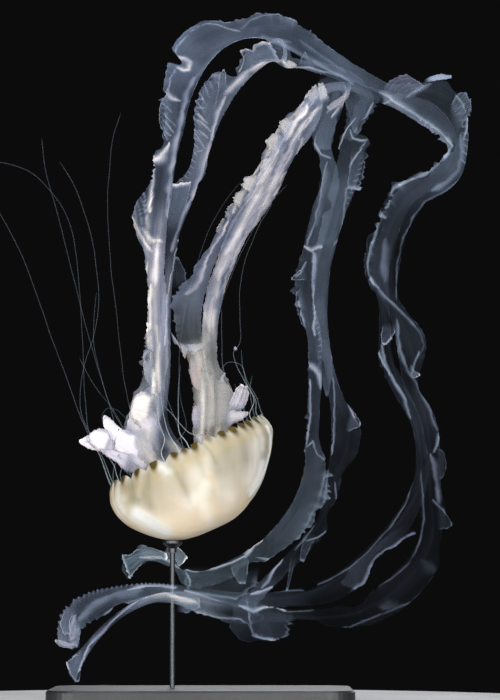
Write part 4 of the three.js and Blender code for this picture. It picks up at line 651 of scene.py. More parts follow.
def lip(s, side, width, lean0, curl, frill, combs, seed):
    """Cross-sections of one lip: (out, deep) from the rib to the edge, for each s."""
    v = np.linspace(0, 1, 41)
    curl = curl * (0.75 + 0.45 * noise1(s / 52, seed + 8))
    alpha = np.arctan(1.3 * lean0)[:, None]
    sign = np.tanh(lean0 / 0.12)[:, None]
    theta = alpha * v**0.5 - sign * curl[:, None] * v**2.2
    out = np.concatenate([np.zeros((len(s), 1)), np.cumsum((np.cos(theta[:, 1:]) + np.cos(theta[:, :-1])) / 2, 1)], 1) / 40
    deep = np.concatenate([np.zeros((len(s), 1)), np.cumsum((np.sin(theta[:, 1:]) + np.sin(theta[:, :-1])) / 2, 1)], 1) / 40
    k = np.minimum(width / np.maximum(out.max(1), 0.3), width * 2.0)
    O = np.stack([np.interp(COLUMNS, v, o) for o in out]) * k[:, None]
    D = np.stack([np.interp(COLUMNS, v, o) for o in deep]) * k[:, None]
    TH = np.stack([np.interp(COLUMNS, v, o) for o in theta])
    V = COLUMNS[None]
    S = s[:, None]
    amp = frill * smooth(2, 14, k)
    # ruffles come in bunches, with calm stretches between them
    bunch = 0.3 + 1.25 * smooth(-0.25, 0.65, noise1(s / 33, seed + 7))
    w1 = pinched(S / 31 + 0.15 * V, seed) * (amp * (0.8 + 0.5 * noise1(s / 47, seed + 3)))[:, None]
    w2 = pinched(S / 12.5 + 0.35 * V, seed + 20) * (amp * bunch * (0.8 + 0.6 * noise1(s / 29, seed + 4)))[:, None]
    w3 = pinched(S / 5.2 + 0.5 * V, seed + 40) * (amp * bunch**1.5 * (0.8 + 0.6 * noise1(s / 17, seed + 5)))[:, None]
    wave = 2.6 * V**1.4 * w1 + 2.0 * V**2.4 * w2 + 1.1 * V**4.0 * w3
    # ruffle crests, drawn later as whiter, less clear lines: a painted highlight along each crest, partly folded film
    crest = np.clip(w2, 0, 1.5) * V**2.0 * 0.6 + np.clip(w3, 0, 1.5) * V**4 * 0.7
    teeth = 0
    for s0, s1, gap, slant, high, *start in combs:
        v0 = start[0] if start else 0.18
        m = (smooth(s0 - 3, s0 + 6, s) * (1 - smooth(s1 - 6, s1 + 3, s)))[:, None] * smooth(v0, v0 + 0.37, V)
        c = np.cos(R2 * (S + slant * V * k[:, None] + 1.6 * noise1(S / 14, seed + 9)) / gap)
        wave = wave + high * m * c
        teeth = teeth + (1.1 * high if start and start[0] >= 0.5 else 0.25 * high) * m * np.clip(c, -0.4, 1) * V**7
        crest = np.maximum(crest, m * np.clip(c, 0, 1) ** 5 * 0.9)
    nx, ny = -np.sin(TH), np.cos(TH)
    # the edge itself runs in small uneven scallops
    scal = 1 + (0.05 * noise1(s / 16, seed + 6) + 0.17 * amp * bunch * pinched(s / 5.2 + 0.5, seed + 40) + 0.13 * amp * bunch * pinched(s / 11, seed + 60))[:, None] * V**3
    tooth = (smooth(3, 9, k) * (0.30 + 0.55 * frill) * (0.35 + 0.65 * bunch) * (0.9 * pinched(s / 3.4, seed + 80) + 0.5 * pinched(s / 7.7, seed + 81)))[:, None] * V**9
    return O * scal + nx * wave + tooth + teeth, D * scal + ny * wave, crest, TH, k


def band_field(index, s, X, Z):
    """How white the named folds, rims and painted highlights make each point of arm index, and their tint."""
    white, dark, tint = np.zeros(X.shape), np.zeros(X.shape), np.zeros(X.shape)
    for arm, s0, s1, half, strength, hue, pts in BANDS:
        if arm != index:
            continue
        rows = np.where((s >= s0) & (s <= s1))[0]
        if len(rows) == 0:
            continue
        x, z = X[rows], Z[rows]
        seed = int(abs(pts[0][0]) * 7 + abs(pts[0][1]) * 3) % 500
        x = x + (0.7 + (0.9 if arm > 1 and s0 < 420 else 0)) * (noise1(z / 9.0, seed + 5) + 0.5 * noise1(z / 3.7, seed + 6))
        d = np.full(x.shape, 1e9)
        total = sum(math.dist(a, b) for a, b in zip(pts[:-1], pts[1:]))
        run, at, way = 0, np.zeros(x.shape), np.zeros(x.shape)
        for (ax, az), (bx, bz) in zip(pts[:-1], pts[1:]):
            ex, ez = bx - ax, bz - az
            n = ex * ex + ez * ez + 1e-9
            f = np.clip(((x - ax) * ex + (z - az) * ez) / n, 0, 1)
            q = np.hypot(x - ax - f * ex, z - az - f * ez)
            at = np.where(q < d, run + f * math.sqrt(n), at)
            way = np.where(q < d, np.sign((x - ax) * ez - (z - az) * ex), way)
            d = np.minimum(d, q)
            run += math.sqrt(n)
        # it swells and thins along its way, and fades at both ends
        h = half * (1 + 0.3 * noise1(at / 9, seed)) * (0.6 + 0.4 * smooth(0, 5, at) * (1 - smooth(total - 5, total, at)))
        if strength > 0:
            h = np.where(way * (1 if seed % 2 else -1) > 0, 0.5, 1.05) * h
            d = d + 0.5 * noise1(at / 7.0, seed + 2) * min(1.0, half / 3)
        m = np.exp(-(np.maximum(d, 0) / h) ** 2) * (0.88 + 0.3 * noise1(at / 13, seed + 1))
        if strength < 0:
            dark[rows] = np.maximum(dark[rows], -strength * m)
            continue
        m = m * strength
        tint[rows] = np.where(m > white[rows], hue - (0.35 if arm > 1 and s0 < 420 else 0), tint[rows])
        white[rows] = np.maximum(white[rows], m)
    return white, dark, tint


def build_arm(index, mat, uvbox):
    rows = ARM_ROWS[index]
    twist, turn, fold = ARM_TWIST[index]
    look = ARM_LOOK[index]
    L = course(rows)
    step = 1.0
    s = np.arange(-7, L + 0.01, step)
    sc = np.clip(s, 0, L)
    Q = course(rows, sc)
    A, B = course(rows, np.clip(sc - 3, 0, L))[:, :3], course(rows, np.clip(sc + 3, 0, L))[:, :3]
    T3 = unit(B - A)
    P = Q[:, :3] + T3 * (s - sc)[:, None]
    t = (B - A) * [1, 0, 1]
    t = unit(t)
    left = np.stack([-t[:, 2], 0 * s, t[:, 0]], 1)
    halves = []
    for side, col, key, curlkey in ((1, Q[:, 3], "left", "curl_l"), (-1, -Q[:, 4], "right", "curl_r")):
        lean = fold * np.sin(R2 * sc / twist + turn + (0 if side > 0 else 1.2))
        width = np.maximum(col, 1.0) * 0.97
        for arm, on, at, half, depth in BITES:
            if arm == index and on == side:
                width = np.maximum(width - depth * np.exp(-((sc - at) / half) ** 4), 2.0)
        tip = smooth(-4, 14, L - s)
        width = width * (0.3 + 0.7 * tip)
        combs = [c[2:] for c in COMBS if c[0] == index and c[1] == side]
        O, D, crest, TH, k = lip(sc, side, width, lean, ease(look[curlkey], sc), ease(look[key], sc) * (0.3 + 0.7 * tip), combs, 100 * index + (10 if side > 0 else 50))
        pts = P[:, None] + left[:, None] * (side * O)[..., None] + np.array([0, 1.0, 0]) * D[..., None]
        halves.append((pts, crest, TH, k))
    mid = np.concatenate([halves[0][0][:, ::-1], halves[1][0][:, 1:]], 1)     # left edge -> right edge
    crest = np.concatenate([halves[0][1][:, ::-1], halves[1][1][:, 1:]], 1)
    V = np.concatenate([COLUMNS[::-1], COLUMNS[1:]])[None]
    K = np.concatenate([np.repeat(halves[0][3][:, None], NC, 1), np.repeat(halves[1][3][:, None], NC - 1, 1)], 1)
    f = (sc / L)[:, None]
    rib_mm = 2.6 - 1.5 * f
    d_mm = V * K
    across = np.concatenate([COLUMNS[::-1], -COLUMNS[1:]])[None] * K
    white, dark, hue = band_field(index, sc, mid[..., 0], mid[..., 2])
    half = 0.22 + (0.5 - 0.25 * f) * np.exp(-(d_mm / rib_mm) ** 2) + 0.4 * white
    half = half * smooth(-8, -2, s)[:, None] * (0.25 + 0.75 * smooth(0, 10, L - s))[:, None] + 0.02
    one = np.ones_like(V)
    uneven = 0.86 + 0.24 * noise2(sc[:, None] / 38, across / 16 + 7.3, 31 + index) + 0.09 * noise2(sc[:, None] / 13, across / 6 + 3.1, 51 + index)
    milk = ease(look["milk"], sc)[:, None] * (0.9 + 0.55 * noise2(sc[:, None] / 42, across / 5.5 + 11.7, 71 + index)) * (1 - 0.25 * V**2) * (1 - np.clip(dark, 0, 0.9))
    film = ease(look["film"], sc)[:, None] * np.clip(uneven, 0.25, 1.4) * (1 - np.clip(dark, 0, 0.9))
    rib = np.exp(-(d_mm / (rib_mm * 0.9)) ** 2) * (ease(look["milk"], sc) * 0.9)[:, None]
    side_l = np.concatenate([np.ones(NC), np.zeros(NC - 1)])[None]
    # the free edge of each lip shows as a thin white line, partly its rolled rim and partly a painted edge highlight,
    # brighter and dimmer along its length
    lit = np.clip(0.45 + 0.75 * noise1(sc / 19, 201 + index)[:, None] + 0.35 * noise1(sc / 6, 211 + index)[:, None], 0.05, 1.3) * side_l
    lit = lit + np.clip(0.45 + 0.75 * noise1(sc / 23, 231 + index)[:, None] + 0.35 * noise1(sc / 7, 241 + index)[:, None], 0.05, 1.3) * (1 - side_l)
    beads = np.clip(0.55 + 0.9 * noise1(sc / 4.6, 261 + index)[:, None] + 0.5 * noise1(sc / 2.6, 271 + index)[:, None], 0.05, 1.5)
    calm = np.ones((len(sc), 2))
    for arm, on, s0, s1, left_over in CALM:
        if arm == index:
            calm[:, 0 if on > 0 else 1] *= 1 - (1 - left_over) * smooth(s0 - 8, s0 + 8, sc) * (1 - smooth(s1 - 8, s1 + 8, sc))
    calm = calm[:, :1] * side_l + calm[:, 1:] * (1 - side_l)
    edge = smooth(0.945, 1.0, V) * lit * beads * calm
    warm = smooth(0.9, 1, V) * smooth(0.3, 0.55, ease(look["milk"], sc))[:, None] * smooth(0.0, 0.6, noise1(sc / 8, 77 + index))[:, None]
    # the roots of the arms are cream, told as less than no warmth
    cream = (0.4, 0.0, 0.9, 0.9)[index] * (1 - smooth(125, 190, sc))[:, None]
    warm = np.where(warm > 0.03, warm, -cream * one)
    tint = np.where(white > 0.15, hue, ease(look["tint"], sc)[:, None] * one)
    shell(mid, half, uvbox, mat, film=film, milk=np.clip(milk, 0, 1.2), warm=warm, edge=edge, crest=np.clip(crest * (0.3 + 0.7 * calm), 0, 1), cap=rib, along=(sc / 1000)[:, None] * one,
          side=np.clip(0.5 + across / 60, 0, 1), fold=white, gold=0.5 + 0.5 * tint)
    return L


# ------------------------------------------------------------------ petals and flaps
# Small flaps of the lips: each is a sheet between two edges, a and b, given from its root
# on the arm to its tip, with its ruffle, its pleats (how many, how high) and its look.
PETALS = [
    dict(a=[(-126.5, -24, 258.5), (-140.5, -30.5, 267.5), (-150, -37, 268), (-159.5, -43.5, 261.5), (-167.5, -50, 257.5)], b=[(-124.5, -24, 241), (-138, -30.5, 242.5), (-147.5, -37, 246), (-158, -43.5, 249), (-167, -50, 253.5)], soft=0.4, milk=1.04, ruffle=1.0, edgew=0.2, warmb=0.5, bulge=3.5, lines=0.1, tint=-0.7, dim=(-0.04, 0.25, 0.1)),
    dict(a=[(-136, -34, 250.5), (-140, -39, 266), (-149.5, -44, 268.5), (-157, -49, 263.5), (-158.5, -54, 259)], b=[(-138, -34, 244.5), (-144.5, -39, 246), (-152.5, -44, 250), (-157, -49, 253.5), (-158.5, -54, 256)], soft=0.9, milk=1.0, ruffle=0.9, bulge=3.5, lines=0.1, edgew=0.08, tint=-0.6, dim=(-0.04, 0.2, 0.1)),
    dict(a=[(-115, -22, 259), (-126.5, -27, 269.5), (-135.5, -32, 277), (-141, -37, 282), (-143.5, -42, 282.5)], b=[(-124.5, -22, 245), (-136.5, -27, 253.5), (-142, -32, 264.5), (-145, -37, 276), (-144.5, -42, 280.5)], soft=0.4, milk=1.0, ruffle=0.9, edgew=0.15, bulge=3, lines=0.1, tint=-0.7, dim=(-0.05, 0.1, 0.0)),
    dict(a=[(-109, -20, 257), (-115, -25.5, 267.5), (-119.5, -30.5, 271), (-121.5, -36, 272)], b=[(-121, -20, 253), (-122.5, -25.5, 260.5), (-123.5, -30.5, 268.5), (-122.5, -36, 271)], milk=0.45, ruffle=0.6, edgew=0.6),
    dict(a=[(-108.5, -26, 243), (-124.5, -31, 246.5), (-136, -36, 248.5), (-143.5, -41, 249), (-146.5, -46, 248)], b=[(-116.5, -26, 220), (-124.5, -31, 229), (-134, -36, 237.5), (-141.5, -41, 242), (-145.5, -46, 246)], soft=0.4, milk=0.86, ruffle=0.9, tint=-0.9, bulge=2, lines=0.1, dim=(0.05, 0.7, 0.15)),
    dict(a=[(-99, -20, 225), (-116.5, -28, 237), (-130, -36, 244.5)], b=[(-109, -20, 219.5), (-120.5, -28, 229), (-131, -36, 241.5)], milk=0.5, ruffle=1, tint=-0.5, edgew=0.4),
    dict(a=[(-83.5, -16, 229.5), (-103, -20.5, 259), (-118.5, -25.5, 268.5), (-130.5, -30, 268.5)], b=[(-99, -16, 219.5), (-115, -20.5, 225), (-126.5, -25.5, 237), (-134.5, -30, 250.5)], soft=0.4, milk=0.98, ruffle=1.0, bulge=3, tint=-0.8, lines=0.1, edgew=0.03, dim=(0.03, 0.75, 0.35)),
    dict(a=[(-85.5, -14, 269), (-99, -18.5, 291), (-109, -23.5, 296.5), (-116.5, -28, 298)], b=[(-91.5, -14, 237.5), (-107, -18.5, 249), (-117, -23.5, 259), (-122.5, -28, 266.5)], soft=0.5, milk=0.86, ruffle=1.0, bulge=3, lines=0.1, edgew=0.03, tint=-0.6, dim=(0.0, 0.35, 0.05)),
    dict(a=[(-89.5, -16, 301), (-99, -21, 305.5), (-108, -26, 306), (-114.5, -31, 301), (-116.5, -36, 295.5)], b=[(-95.5, -16, 269), (-106, -21, 271), (-113, -26, 274.5), (-117.5, -31, 282), (-117.5, -36, 289.5)], soft=0.95, milk=1.02, ruffle=1.1, cream=0.15, warmt=1, edgew=0.15, bulge=3, lines=0.15, dim=(0.0, 0.4, 0.1)),
    dict(a=[(-91.5, -14, 315), (-99.5, -17.5, 311.5), (-106, -20.5, 307.5), (-112, -24, 304.5)], b=[(-93.5, -14, 301), (-103.5, -17.5, 301), (-111, -20.5, 301.5), (-116, -24, 301.5)], milk=0.35, ruffle=1.0, edgew=0.5),
    dict(a=[(-92.5, -12, 341), (-99.5, -14.5, 340), (-105.5, -17.5, 336.5), (-106, -20, 332.5)], b=[(-95.5, -12, 311), (-101.5, -14.5, 316), (-104.5, -17.5, 322.5), (-105, -20, 328.5)], milk=0.5, ruffle=1.2, edgew=0.5, warmt=0.3),
    dict(a=[(-96.5, -12, 350), (-101.5, -14, 349), (-105.5, -16, 345.5), (-106.5, -18, 340.5), (-104.5, -20, 334.5)], b=[(-96.5, -12, 347), (-100.5, -14, 346), (-103.5, -16, 343.5), (-104.5, -18, 339.5), (-102.5, -20, 335.5)], milk=0.5, ruffle=0.3),
    dict(a=[(-93.5, -12, 371), (-99.5, -13.5, 367), (-102.5, -14.5, 361), (-103.5, -16, 354.5)], b=[(-92.5, -12, 347), (-97.5, -13.5, 347), (-101.5, -14.5, 349), (-102.5, -16, 352.5)], milk=0.7, ruffle=1.2, warmt=0.5),
    dict(a=[(-44, -6, 297.5), (-51, -10, 296.5), (-55.5, -14, 292), (-57.5, -18, 285)], b=[(-46, -6, 265.5), (-50.5, -10, 267.5), (-55.5, -14, 272), (-57.5, -18, 279)], milk=0.8, ruffle=0.8, tint=-0.7, bulge=3, dim=(0.2, 0.9, 0.3)),
    dict(a=[(-34, -8, 251.5), (-43.5, -12, 263.5), (-51.5, -16, 267)], b=[(-46, -8, 249.5), (-50.5, -12, 255.5), (-54.5, -16, 261)], milk=0.85, ruffle=0.6),
    dict(a=[(-24, -22, 286.5), (-18, -26, 300), (-14, -30, 309), (-9, -34, 313.5)], b=[(-12, -22, 282.5), (-5, -26, 293.5), (-1, -30, 303), (-3, -34, 311.5)], milk=0.8, ruffle=1.1, pleat=(2, 0.8), edgew=0.5, tint=-0.6, dim=(0.0, 0.5, 0.3)),
    dict(a=[(-27.5, -24, 286.5), (-17, -27.5, 287.5), (-7, -30.5, 287), (-2, -34, 286)], b=[(-27.5, -24, 270.5), (-16, -27.5, 274.5), (-7, -30.5, 279), (-2, -34, 283)], milk=0.8, ruffle=1.0, edgew=0.4, tint=-0.3, dim=(0.0, 0.4, 0.2)),
    dict(a=[(-24, -20, 314.5), (-26, -22, 319.5), (-24, -24, 325)], b=[(-29, -20, 315.5), (-29, -22, 320.5), (-26, -24, 325)], milk=0.6, ruffle=0.5, tint=0.6),
    dict(a=[(-13, -46, 345.5), (-13, -46, 348), (-14, -46, 350)], b=[(-15, -46, 345.5), (-16, -46, 347.5), (-15.5, -46, 349.5)], milk=0.6, ruffle=0.3, bulge=0.8, tint=-0.6),
    dict(a=[(-58.5, -16, 346.5), (-60, -16.5, 336.5), (-59.5, -17.5, 324.5), (-56.5, -18, 312.5)], b=[(-46.5, -16, 346.5), (-47.5, -16.5, 334.5), (-48.5, -17.5, 320.5), (-48.5, -18, 306.5)], milk=0.5, peach=0.42, ruffle=0.4, warmb=0.6, edgew=0, lines=0),
    dict(a=[(-80, -6, 369.5), (-76, -9, 363.5), (-71.5, -12, 357)], b=[(-78, -6, 360.5), (-74, -9, 355.5), (-69.5, -12, 351)], milk=0.55, ruffle=1.5, warmb=1, bteeth=2.6, edgew=0.25, tint=-0.3),
    dict(a=[(-73, -8, 358.5), (-69, -11, 352), (-66.5, -14, 343)], b=[(-65, -8, 356.5), (-63, -11, 349), (-64.5, -14, 341)], milk=0.6, ruffle=1.5, warmt=1, warmb=0.6, bteeth=2.2, edgew=0.25),
    dict(a=[(-66, -8, 356.5), (-56, -10, 355), (-46, -12, 356)], b=[(-66, -8, 347.5), (-57, -10, 346), (-46, -12, 349)], milk=0.55, ruffle=1.5, warmb=1, bteeth=2.8, edgew=0.25, tint=-0.3, dim=(0.0, 0.6, 0.0)),
    dict(a=[(-80.5, 18.5, 410), (-78.5, 19.5, 430.5), (-75.5, 20.5, 446)], b=[(-64.5, 18.5, 412), (-65.5, 19.5, 430.5), (-72.5, 20.5, 446)], film=0.5, ruffle=0.6, tint=0.1),
    dict(a=[(-84, 22, 467.5), (-82, 24, 496), (-79, 25, 520.5)], b=[(-70.5, 22.5, 471.5), (-65, 24.5, 496), (-58.5, 24.5, 523.5)], film=0.95, ruffle=1.1, tipw=0.75),
    dict(a=[(-28, 4, 609), (-32.5, 2.5, 617), (-31, 1, 627), (-27, -1, 633)], b=[(-21, 2, 613), (-24, 1, 621), (-24, -1, 627.5), (-26, -2, 632.5)], film=0.8, milk=0.1, edgew=0.8),
    dict(a=[(-12, -4.5, 630), (-8, -6.5, 637), (-7, -7.5, 645), (-10, -8, 651), (-4, -9, 653), (2, -9.5, 650.5), (4, -10.5, 656.5), (11, -11.5, 659.5), (20, -12, 659.5)], b=[(-5, -5, 626), (-1, -7, 632), (2, -8, 635.5), (5, -9, 638.5), (8, -9.5, 639.5), (12, -10.5, 640.5), (16, -11, 641), (22, -12, 641), (30, -13, 641)], film=0.9, milk=0.1, ruffle=1.3, edgew=0.3, aw=0.75),
    dict(a=[(19, -13, 655), (22, -13, 661), (27, -13.5, 663), (33, -14, 661), (36, -14.5, 655), (37, -15, 646.5), (36, -15, 638.5)], b=[(23, -13, 653), (25, -13.5, 657), (28, -13.5, 658), (31, -14, 657), (33, -14.5, 653), (33, -14.5, 645.5), (31, -14.5, 639.5)], film=1.3, milk=0.3, ruffle=0.7, edgew=0.35),
    dict(a=[(-38.5, 21.5, 573.5), (-47.5, 17.5, 593), (-47.5, 13, 613), (-38.5, 8.5, 630.5)], b=[(-34.5, 19.5, 579), (-34.5, 15, 599), (-31.5, 11, 614.5), (-29.5, 6.5, 630)], film=0.4, ruffle=0.6, edgew=0.3),
    dict(a=[(131, 6.5, 605.5), (135, 6.5, 614.5), (140.5, 6.5, 622), (148.5, 4, 626.5), (157, 0, 628), (166, -4, 622)], b=[(147, 1.5, 599.5), (153, 0, 603.5), (161, -3, 607), (169, -6.5, 610.5), (176.5, -9, 615)], film=1.1, milk=0.16, ruffle=2.2, pleat=(5, 1.0), lines=0.35, edgew=0.12, tint=-0.5, rim=0.25),
    dict(a=[(174.5, -9, 621), (181.5, -11.5, 624.5), (191.5, -15, 626), (202, -17.5, 624.5)], b=[(175.5, -10, 618.5), (183.5, -12.5, 619.5), (193.5, -15.5, 620.5), (202, -18, 621.5)], film=10, milk=0.25, ruffle=0.4, tint=0.0, rim=0.1, lines=0.1),
    dict(a=[(199, -20.5, 587), (203, -19, 597.5), (209, -18, 605.5), (215, -19, 607.5)], b=[(204, -30, 561.5), (213.5, -27.5, 572), (219.5, -25.5, 584), (221, -22.5, 597)], film=1.0, milk=0.1, ruffle=2.0, pleat=(6, 1.0), lines=0.4, edgew=0.18, tint=0.3, rim=0.25, bteeth=1.5),
    dict(a=[(101.5, 2.5, 556), (100.5, 6, 537.5), (97.5, 8, 512.5)], b=[(117.5, 2, 560), (117, 5, 542.5), (110, 8, 512)], film=0.6, ruffle=1.0, edgew=0.35, bteeth=1.6),
    dict(a=[(57, 52, 444), (50, 52.5, 435), (42, 53, 428)], b=[(60, 53, 426), (52, 53, 426), (42, 53, 426)], film=0.8, ruffle=0.4, edgew=0.8),
    dict(a=[(55, 53, 424), (48, 54, 413.5), (47, 54.5, 399.5)], b=[(60, 55.5, 375), (54, 55.5, 379), (50, 55, 389)], film=0.6, ruffle=1.2, edgew=0.5, tint=-0.3),
    dict(a=[(100.5, 15.5, 297), (105.5, 16, 287), (111.5, 16.5, 278)], b=[(94.5, 17, 269), (102.5, 17, 271), (110.5, 17, 275)], film=0.6, milk=0.1, ruffle=0.5, edgew=0.6),
    dict(a=[(157, -51.5, 334), (161, -51, 326), (167, -51, 322.5)], b=[(155, -51, 321.5), (161, -50.5, 318.5), (167, -51, 320.5)], film=0.8, milk=0.2, ruffle=0.3, edgew=0.7),
    dict(a=[(182.5, -41, 199), (191.5, -39, 187), (198.5, -37.5, 176.5)], b=[(183, -36.5, 169.5), (191.5, -36.5, 170.5), (198.5, -37, 173.5)], film=0.25, ruffle=0.4, edgew=0.2, rim=0.35),
    dict(a=[(180.5, -45.5, 250), (188.5, -45.5, 248), (192.5, -45, 238)], b=[(182.5, -43, 216.5), (188.5, -43.5, 220.5), (192.5, -44, 230)], film=0.35, ruffle=0.6, edgew=0.1, rim=0.3),
    dict(a=[(130, -90, 370), (127, -89.5, 360.5), (128, -89.5, 348.5)], b=[(141, -90, 370), (140, -89.5, 358.5), (132, -89.5, 347.5)], film=0.5, ruffle=0.6, edgew=0.6, tint=-0.4),
    dict(a=[(161, -79.5, 165), (151, -78, 161), (141.5, -76, 153.5), (133, -74.5, 149.5), (119.5, -71.5, 137), (115.5, -69.5, 127), (113.5, -68.5, 119.5), (102, -65.5, 110.5)], b=[(153, -80, 177.5), (141.5, -78, 169.5), (130, -75.5, 161), (118.5, -73, 152.5), (107, -70.5, 142.5), (99, -68, 134), (93.5, -66, 126), (87.5, -64, 116.5)], film=0.24, milk=0.02, ruffle=1.0, edgew=0, tint=-0.5, rim=0.03, aw=0.26),
    dict(a=[(12, 30.5, 97), (0, 31, 90), (-1, 30.5, 77), (3, 30, 65)], b=[(44, 28, 91), (42, 28, 79), (36, 28, 67), (22, 28.5, 60)], film=0.4, ruffle=1.6, edgew=0.12, bteeth=1, rim=0.35),
    dict(a=[(41, 26.5, 148), (39, 28, 129), (36, 28.5, 110)], b=[(48, 26.5, 145), (42, 27.5, 127), (38, 28.5, 110)], film=0.35, ruffle=0.5, edgew=0.2, rim=0.4),
    dict(a=[(56, 23.5, 171), (52, 25.5, 155), (50, 26.5, 139)], b=[(69, 23, 166.5), (60, 25, 153), (54, 26.5, 139)], film=0.4, ruffle=0.8, edgew=0.25, rim=0.4),
    dict(a=[(-21.5, 55.5, 141), (-18, 55.5, 129), (-11, 55.5, 117)], b=[(-2, 56.5, 148), (-2, 56, 133), (-4, 56, 117)], film=0.8, milk=0.06, ruffle=0.7, edgew=0.25, tint=0.8, rim=0.5),
    dict(a=[(-101, 50.5, 150), (-112.5, 50, 152), (-121.5, 49, 147), (-130.5, 48.5, 146)], b=[(-102, 50.5, 140), (-111, 49.5, 135), (-117, 48, 128), (-122, 48, 122)], film=1.4, milk=0.05, ruffle=1.5, pleat=(4, 1), edgew=0.45, tint=0.7),
    dict(a=[(-116, 48.5, 151), (-112, 49, 156), (-101, 49.5, 154), (-93, 50, 151), (-85, 50.5, 148)], b=[(-115, 48.5, 145), (-108, 49, 144), (-99, 49.5, 144), (-91, 50.5, 142), (-83, 51, 140)], film=1.7, milk=0.25, ruffle=1.4, edgew=0.9, tint=0.5),
    dict(a=[(-88, 50.5, 145), (-82, 50.5, 155), (-73, 51, 154), (-63.5, 51.5, 144)], b=[(-81, 51, 135), (-76, 51.5, 141), (-71, 51.5, 135), (-67, 51.5, 138)], film=1.7, milk=0.25, ruffle=1.4, edgew=0.9, tint=0.5),
    dict(a=[(-161.5, -25.5, 56), (-173, -27.5, 46), (-181, -28.5, 40)], b=[(-166, -28, 38.5), (-169, -29, 20.5), (-177, -29, 30.5)], film=0.8, milk=0.05, ruffle=0.8, edgew=0.6),
    dict(a=[(-165.5, -59, 62.5), (-175, -59, 59.5), (-183, -59, 61.5), (-189.5, -59, 63)], b=[(-165.5, -59, 54.5), (-176, -59, 54.5), (-185, -59, 56.5), (-189.5, -59, 60.5)], film=1, milk=0.45, ruffle=0.7, edgew=0.35),
    dict(a=[(-170.5, -57.5, 81.5), (-172, -59, 70), (-174, -60, 57.5)], b=[(-164.5, -57.5, 77.5), (-165.5, -59, 66), (-168, -60, 55.5)], film=1, milk=0.3, ruffle=0.8, edgew=0.2, tint=-0.4),
    dict(a=[(-73, -12.5, 102), (-63.5, -11.5, 106), (-49.5, -10, 103)], b=[(-73, -12, 89), (-61.5, -11, 88), (-49.5, -10, 94)], film=0.9, milk=0.12, ruffle=1.2, edgew=0.05, warmt=0.2),
    dict(a=[(-175.5, -56, 97), (-181, -56.5, 89.5), (-184, -57.5, 79.5), (-183, -58.5, 68)], b=[(-165.5, -55.5, 93.5), (-173.5, -56.5, 85.5), (-175.5, -57.5, 76), (-175, -58.5, 66)], film=0.9, milk=0.1, ruffle=1.6, edgew=0.5, bteeth=0, tint=-0.6, pleat=(4, 1)),
    dict(a=[(-75, 11.5, 607.5), (-82, 12, 610.5), (-88, 11.5, 606.5), (-91, 10, 598)], b=[(-79.5, 3.5, 557.5), (-84.5, 4.5, 564.5), (-88.5, 6, 572), (-92, 7.5, 581.5)], film=1.15, milk=0.03, ruffle=0.7, pleat=(6, 1.0), lines=0.9, edgew=0.3, tipw=0.35),
    dict(a=[(73.5, 43, 611.5), (70.5, 43.5, 620), (67.5, 44, 626)], b=[(63.5, 42, 603), (60, 42.5, 611.5), (59, 43, 619)], film=1.2, milk=0.7, ruffle=1.6, edgew=0.3, bulge=1.5),
    dict(a=[(59, 41.5, 597), (54, 41.5, 602), (50, 41, 600)], b=[(49, 40, 584.5), (45, 40, 591.5), (43, 40, 592.5)], film=1.2, milk=0.75, ruffle=1.6, edgew=0.3, bulge=1.5, bteeth=1),
    dict(a=[(47, 40, 584.5), (40, 40, 589.5), (32.5, 39.5, 589.5)], b=[(38.5, 38, 569.5), (31.5, 38.5, 577), (28.5, 38.5, 583)], film=1.1, milk=0.8, ruffle=1.6, edgew=0.3, bulge=1.5, bteeth=1),
    dict(a=[(34.5, 38, 569.5), (26.5, 38, 575), (17.5, 37, 568.5)], b=[(29.5, 36.5, 551), (20.5, 36.5, 556), (15.5, 36.5, 560)], film=1.1, milk=0.8, ruffle=1.8, edgew=0.3, bulge=2, bteeth=1, warmb=0.5),
    dict(a=[(26.5, 36, 549), (18.5, 35.5, 550), (13, 35.5, 546.5)], b=[(16.5, 34.5, 530), (11, 34.5, 534), (10, 34.5, 539.5)], film=1.1, milk=0.82, ruffle=1.6, edgew=0.3, bulge=1.5, bteeth=1),
    dict(a=[(12, 34, 528), (3, 33.5, 530), (-5, 33, 529)], b=[(2, 32, 509.5), (-6, 32, 514.5), (-9, 32.5, 519.5)], film=1.1, milk=0.85, ruffle=1.8, edgew=0.3, bulge=2, bteeth=1),
    dict(a=[(-1, 32.5, 513.5), (-8, 32, 515.5), (-14, 32, 512.5)], b=[(-9, 31, 495), (-14, 31, 499), (-18.5, 31, 504)], film=1.1, milk=0.8, ruffle=1.5, edgew=0.3, bulge=1.5, bteeth=1),
    dict(a=[(-12, 31, 501), (-17, 31, 502), (-21.5, 30.5, 499)], b=[(-20.5, 30, 482.5), (-24.5, 30, 485.5), (-25.5, 30, 491.5)], film=1.1, milk=0.5, ruffle=1.4, edgew=0.6, bulge=1, bteeth=1),
    dict(a=[(-22.5, 30, 486.5), (-27.5, 29.5, 485.5), (-30.5, 29.5, 480.5)], b=[(-30.5, 28.5, 468), (-33.5, 28.5, 471), (-33.5, 29, 475.5)], film=1.0, milk=0.5, ruffle=1.2, edgew=0.6, bulge=1, bteeth=1),
    dict(a=[(75.5, 5, 542.5), (70.5, 7, 520), (66.5, 7.5, 497), (58.5, 9, 474), (54.5, 10, 455.5)], b=[(100.5, 5.5, 534.5), (97.5, 7, 516), (93.5, 7.5, 496), (88.5, 8.5, 476), (84.5, 9.5, 457.5)], film=0.3, ruffle=0.3, edgew=0, lines=0, bulge=1.0, tint=0.1, rim=0),
    dict(a=[(91.5, -11, 609), (95.5, -6.5, 597.5), (96.5, -3.5, 579.5), (92.5, -0.5, 564)], b=[(116.5, -10, 603), (116.5, -7.5, 589), (112.5, -3.5, 573.5), (102.5, 0.5, 560)], film=0.6, ruffle=0.3, edgew=0, lines=0, bulge=1.0, rim=0),
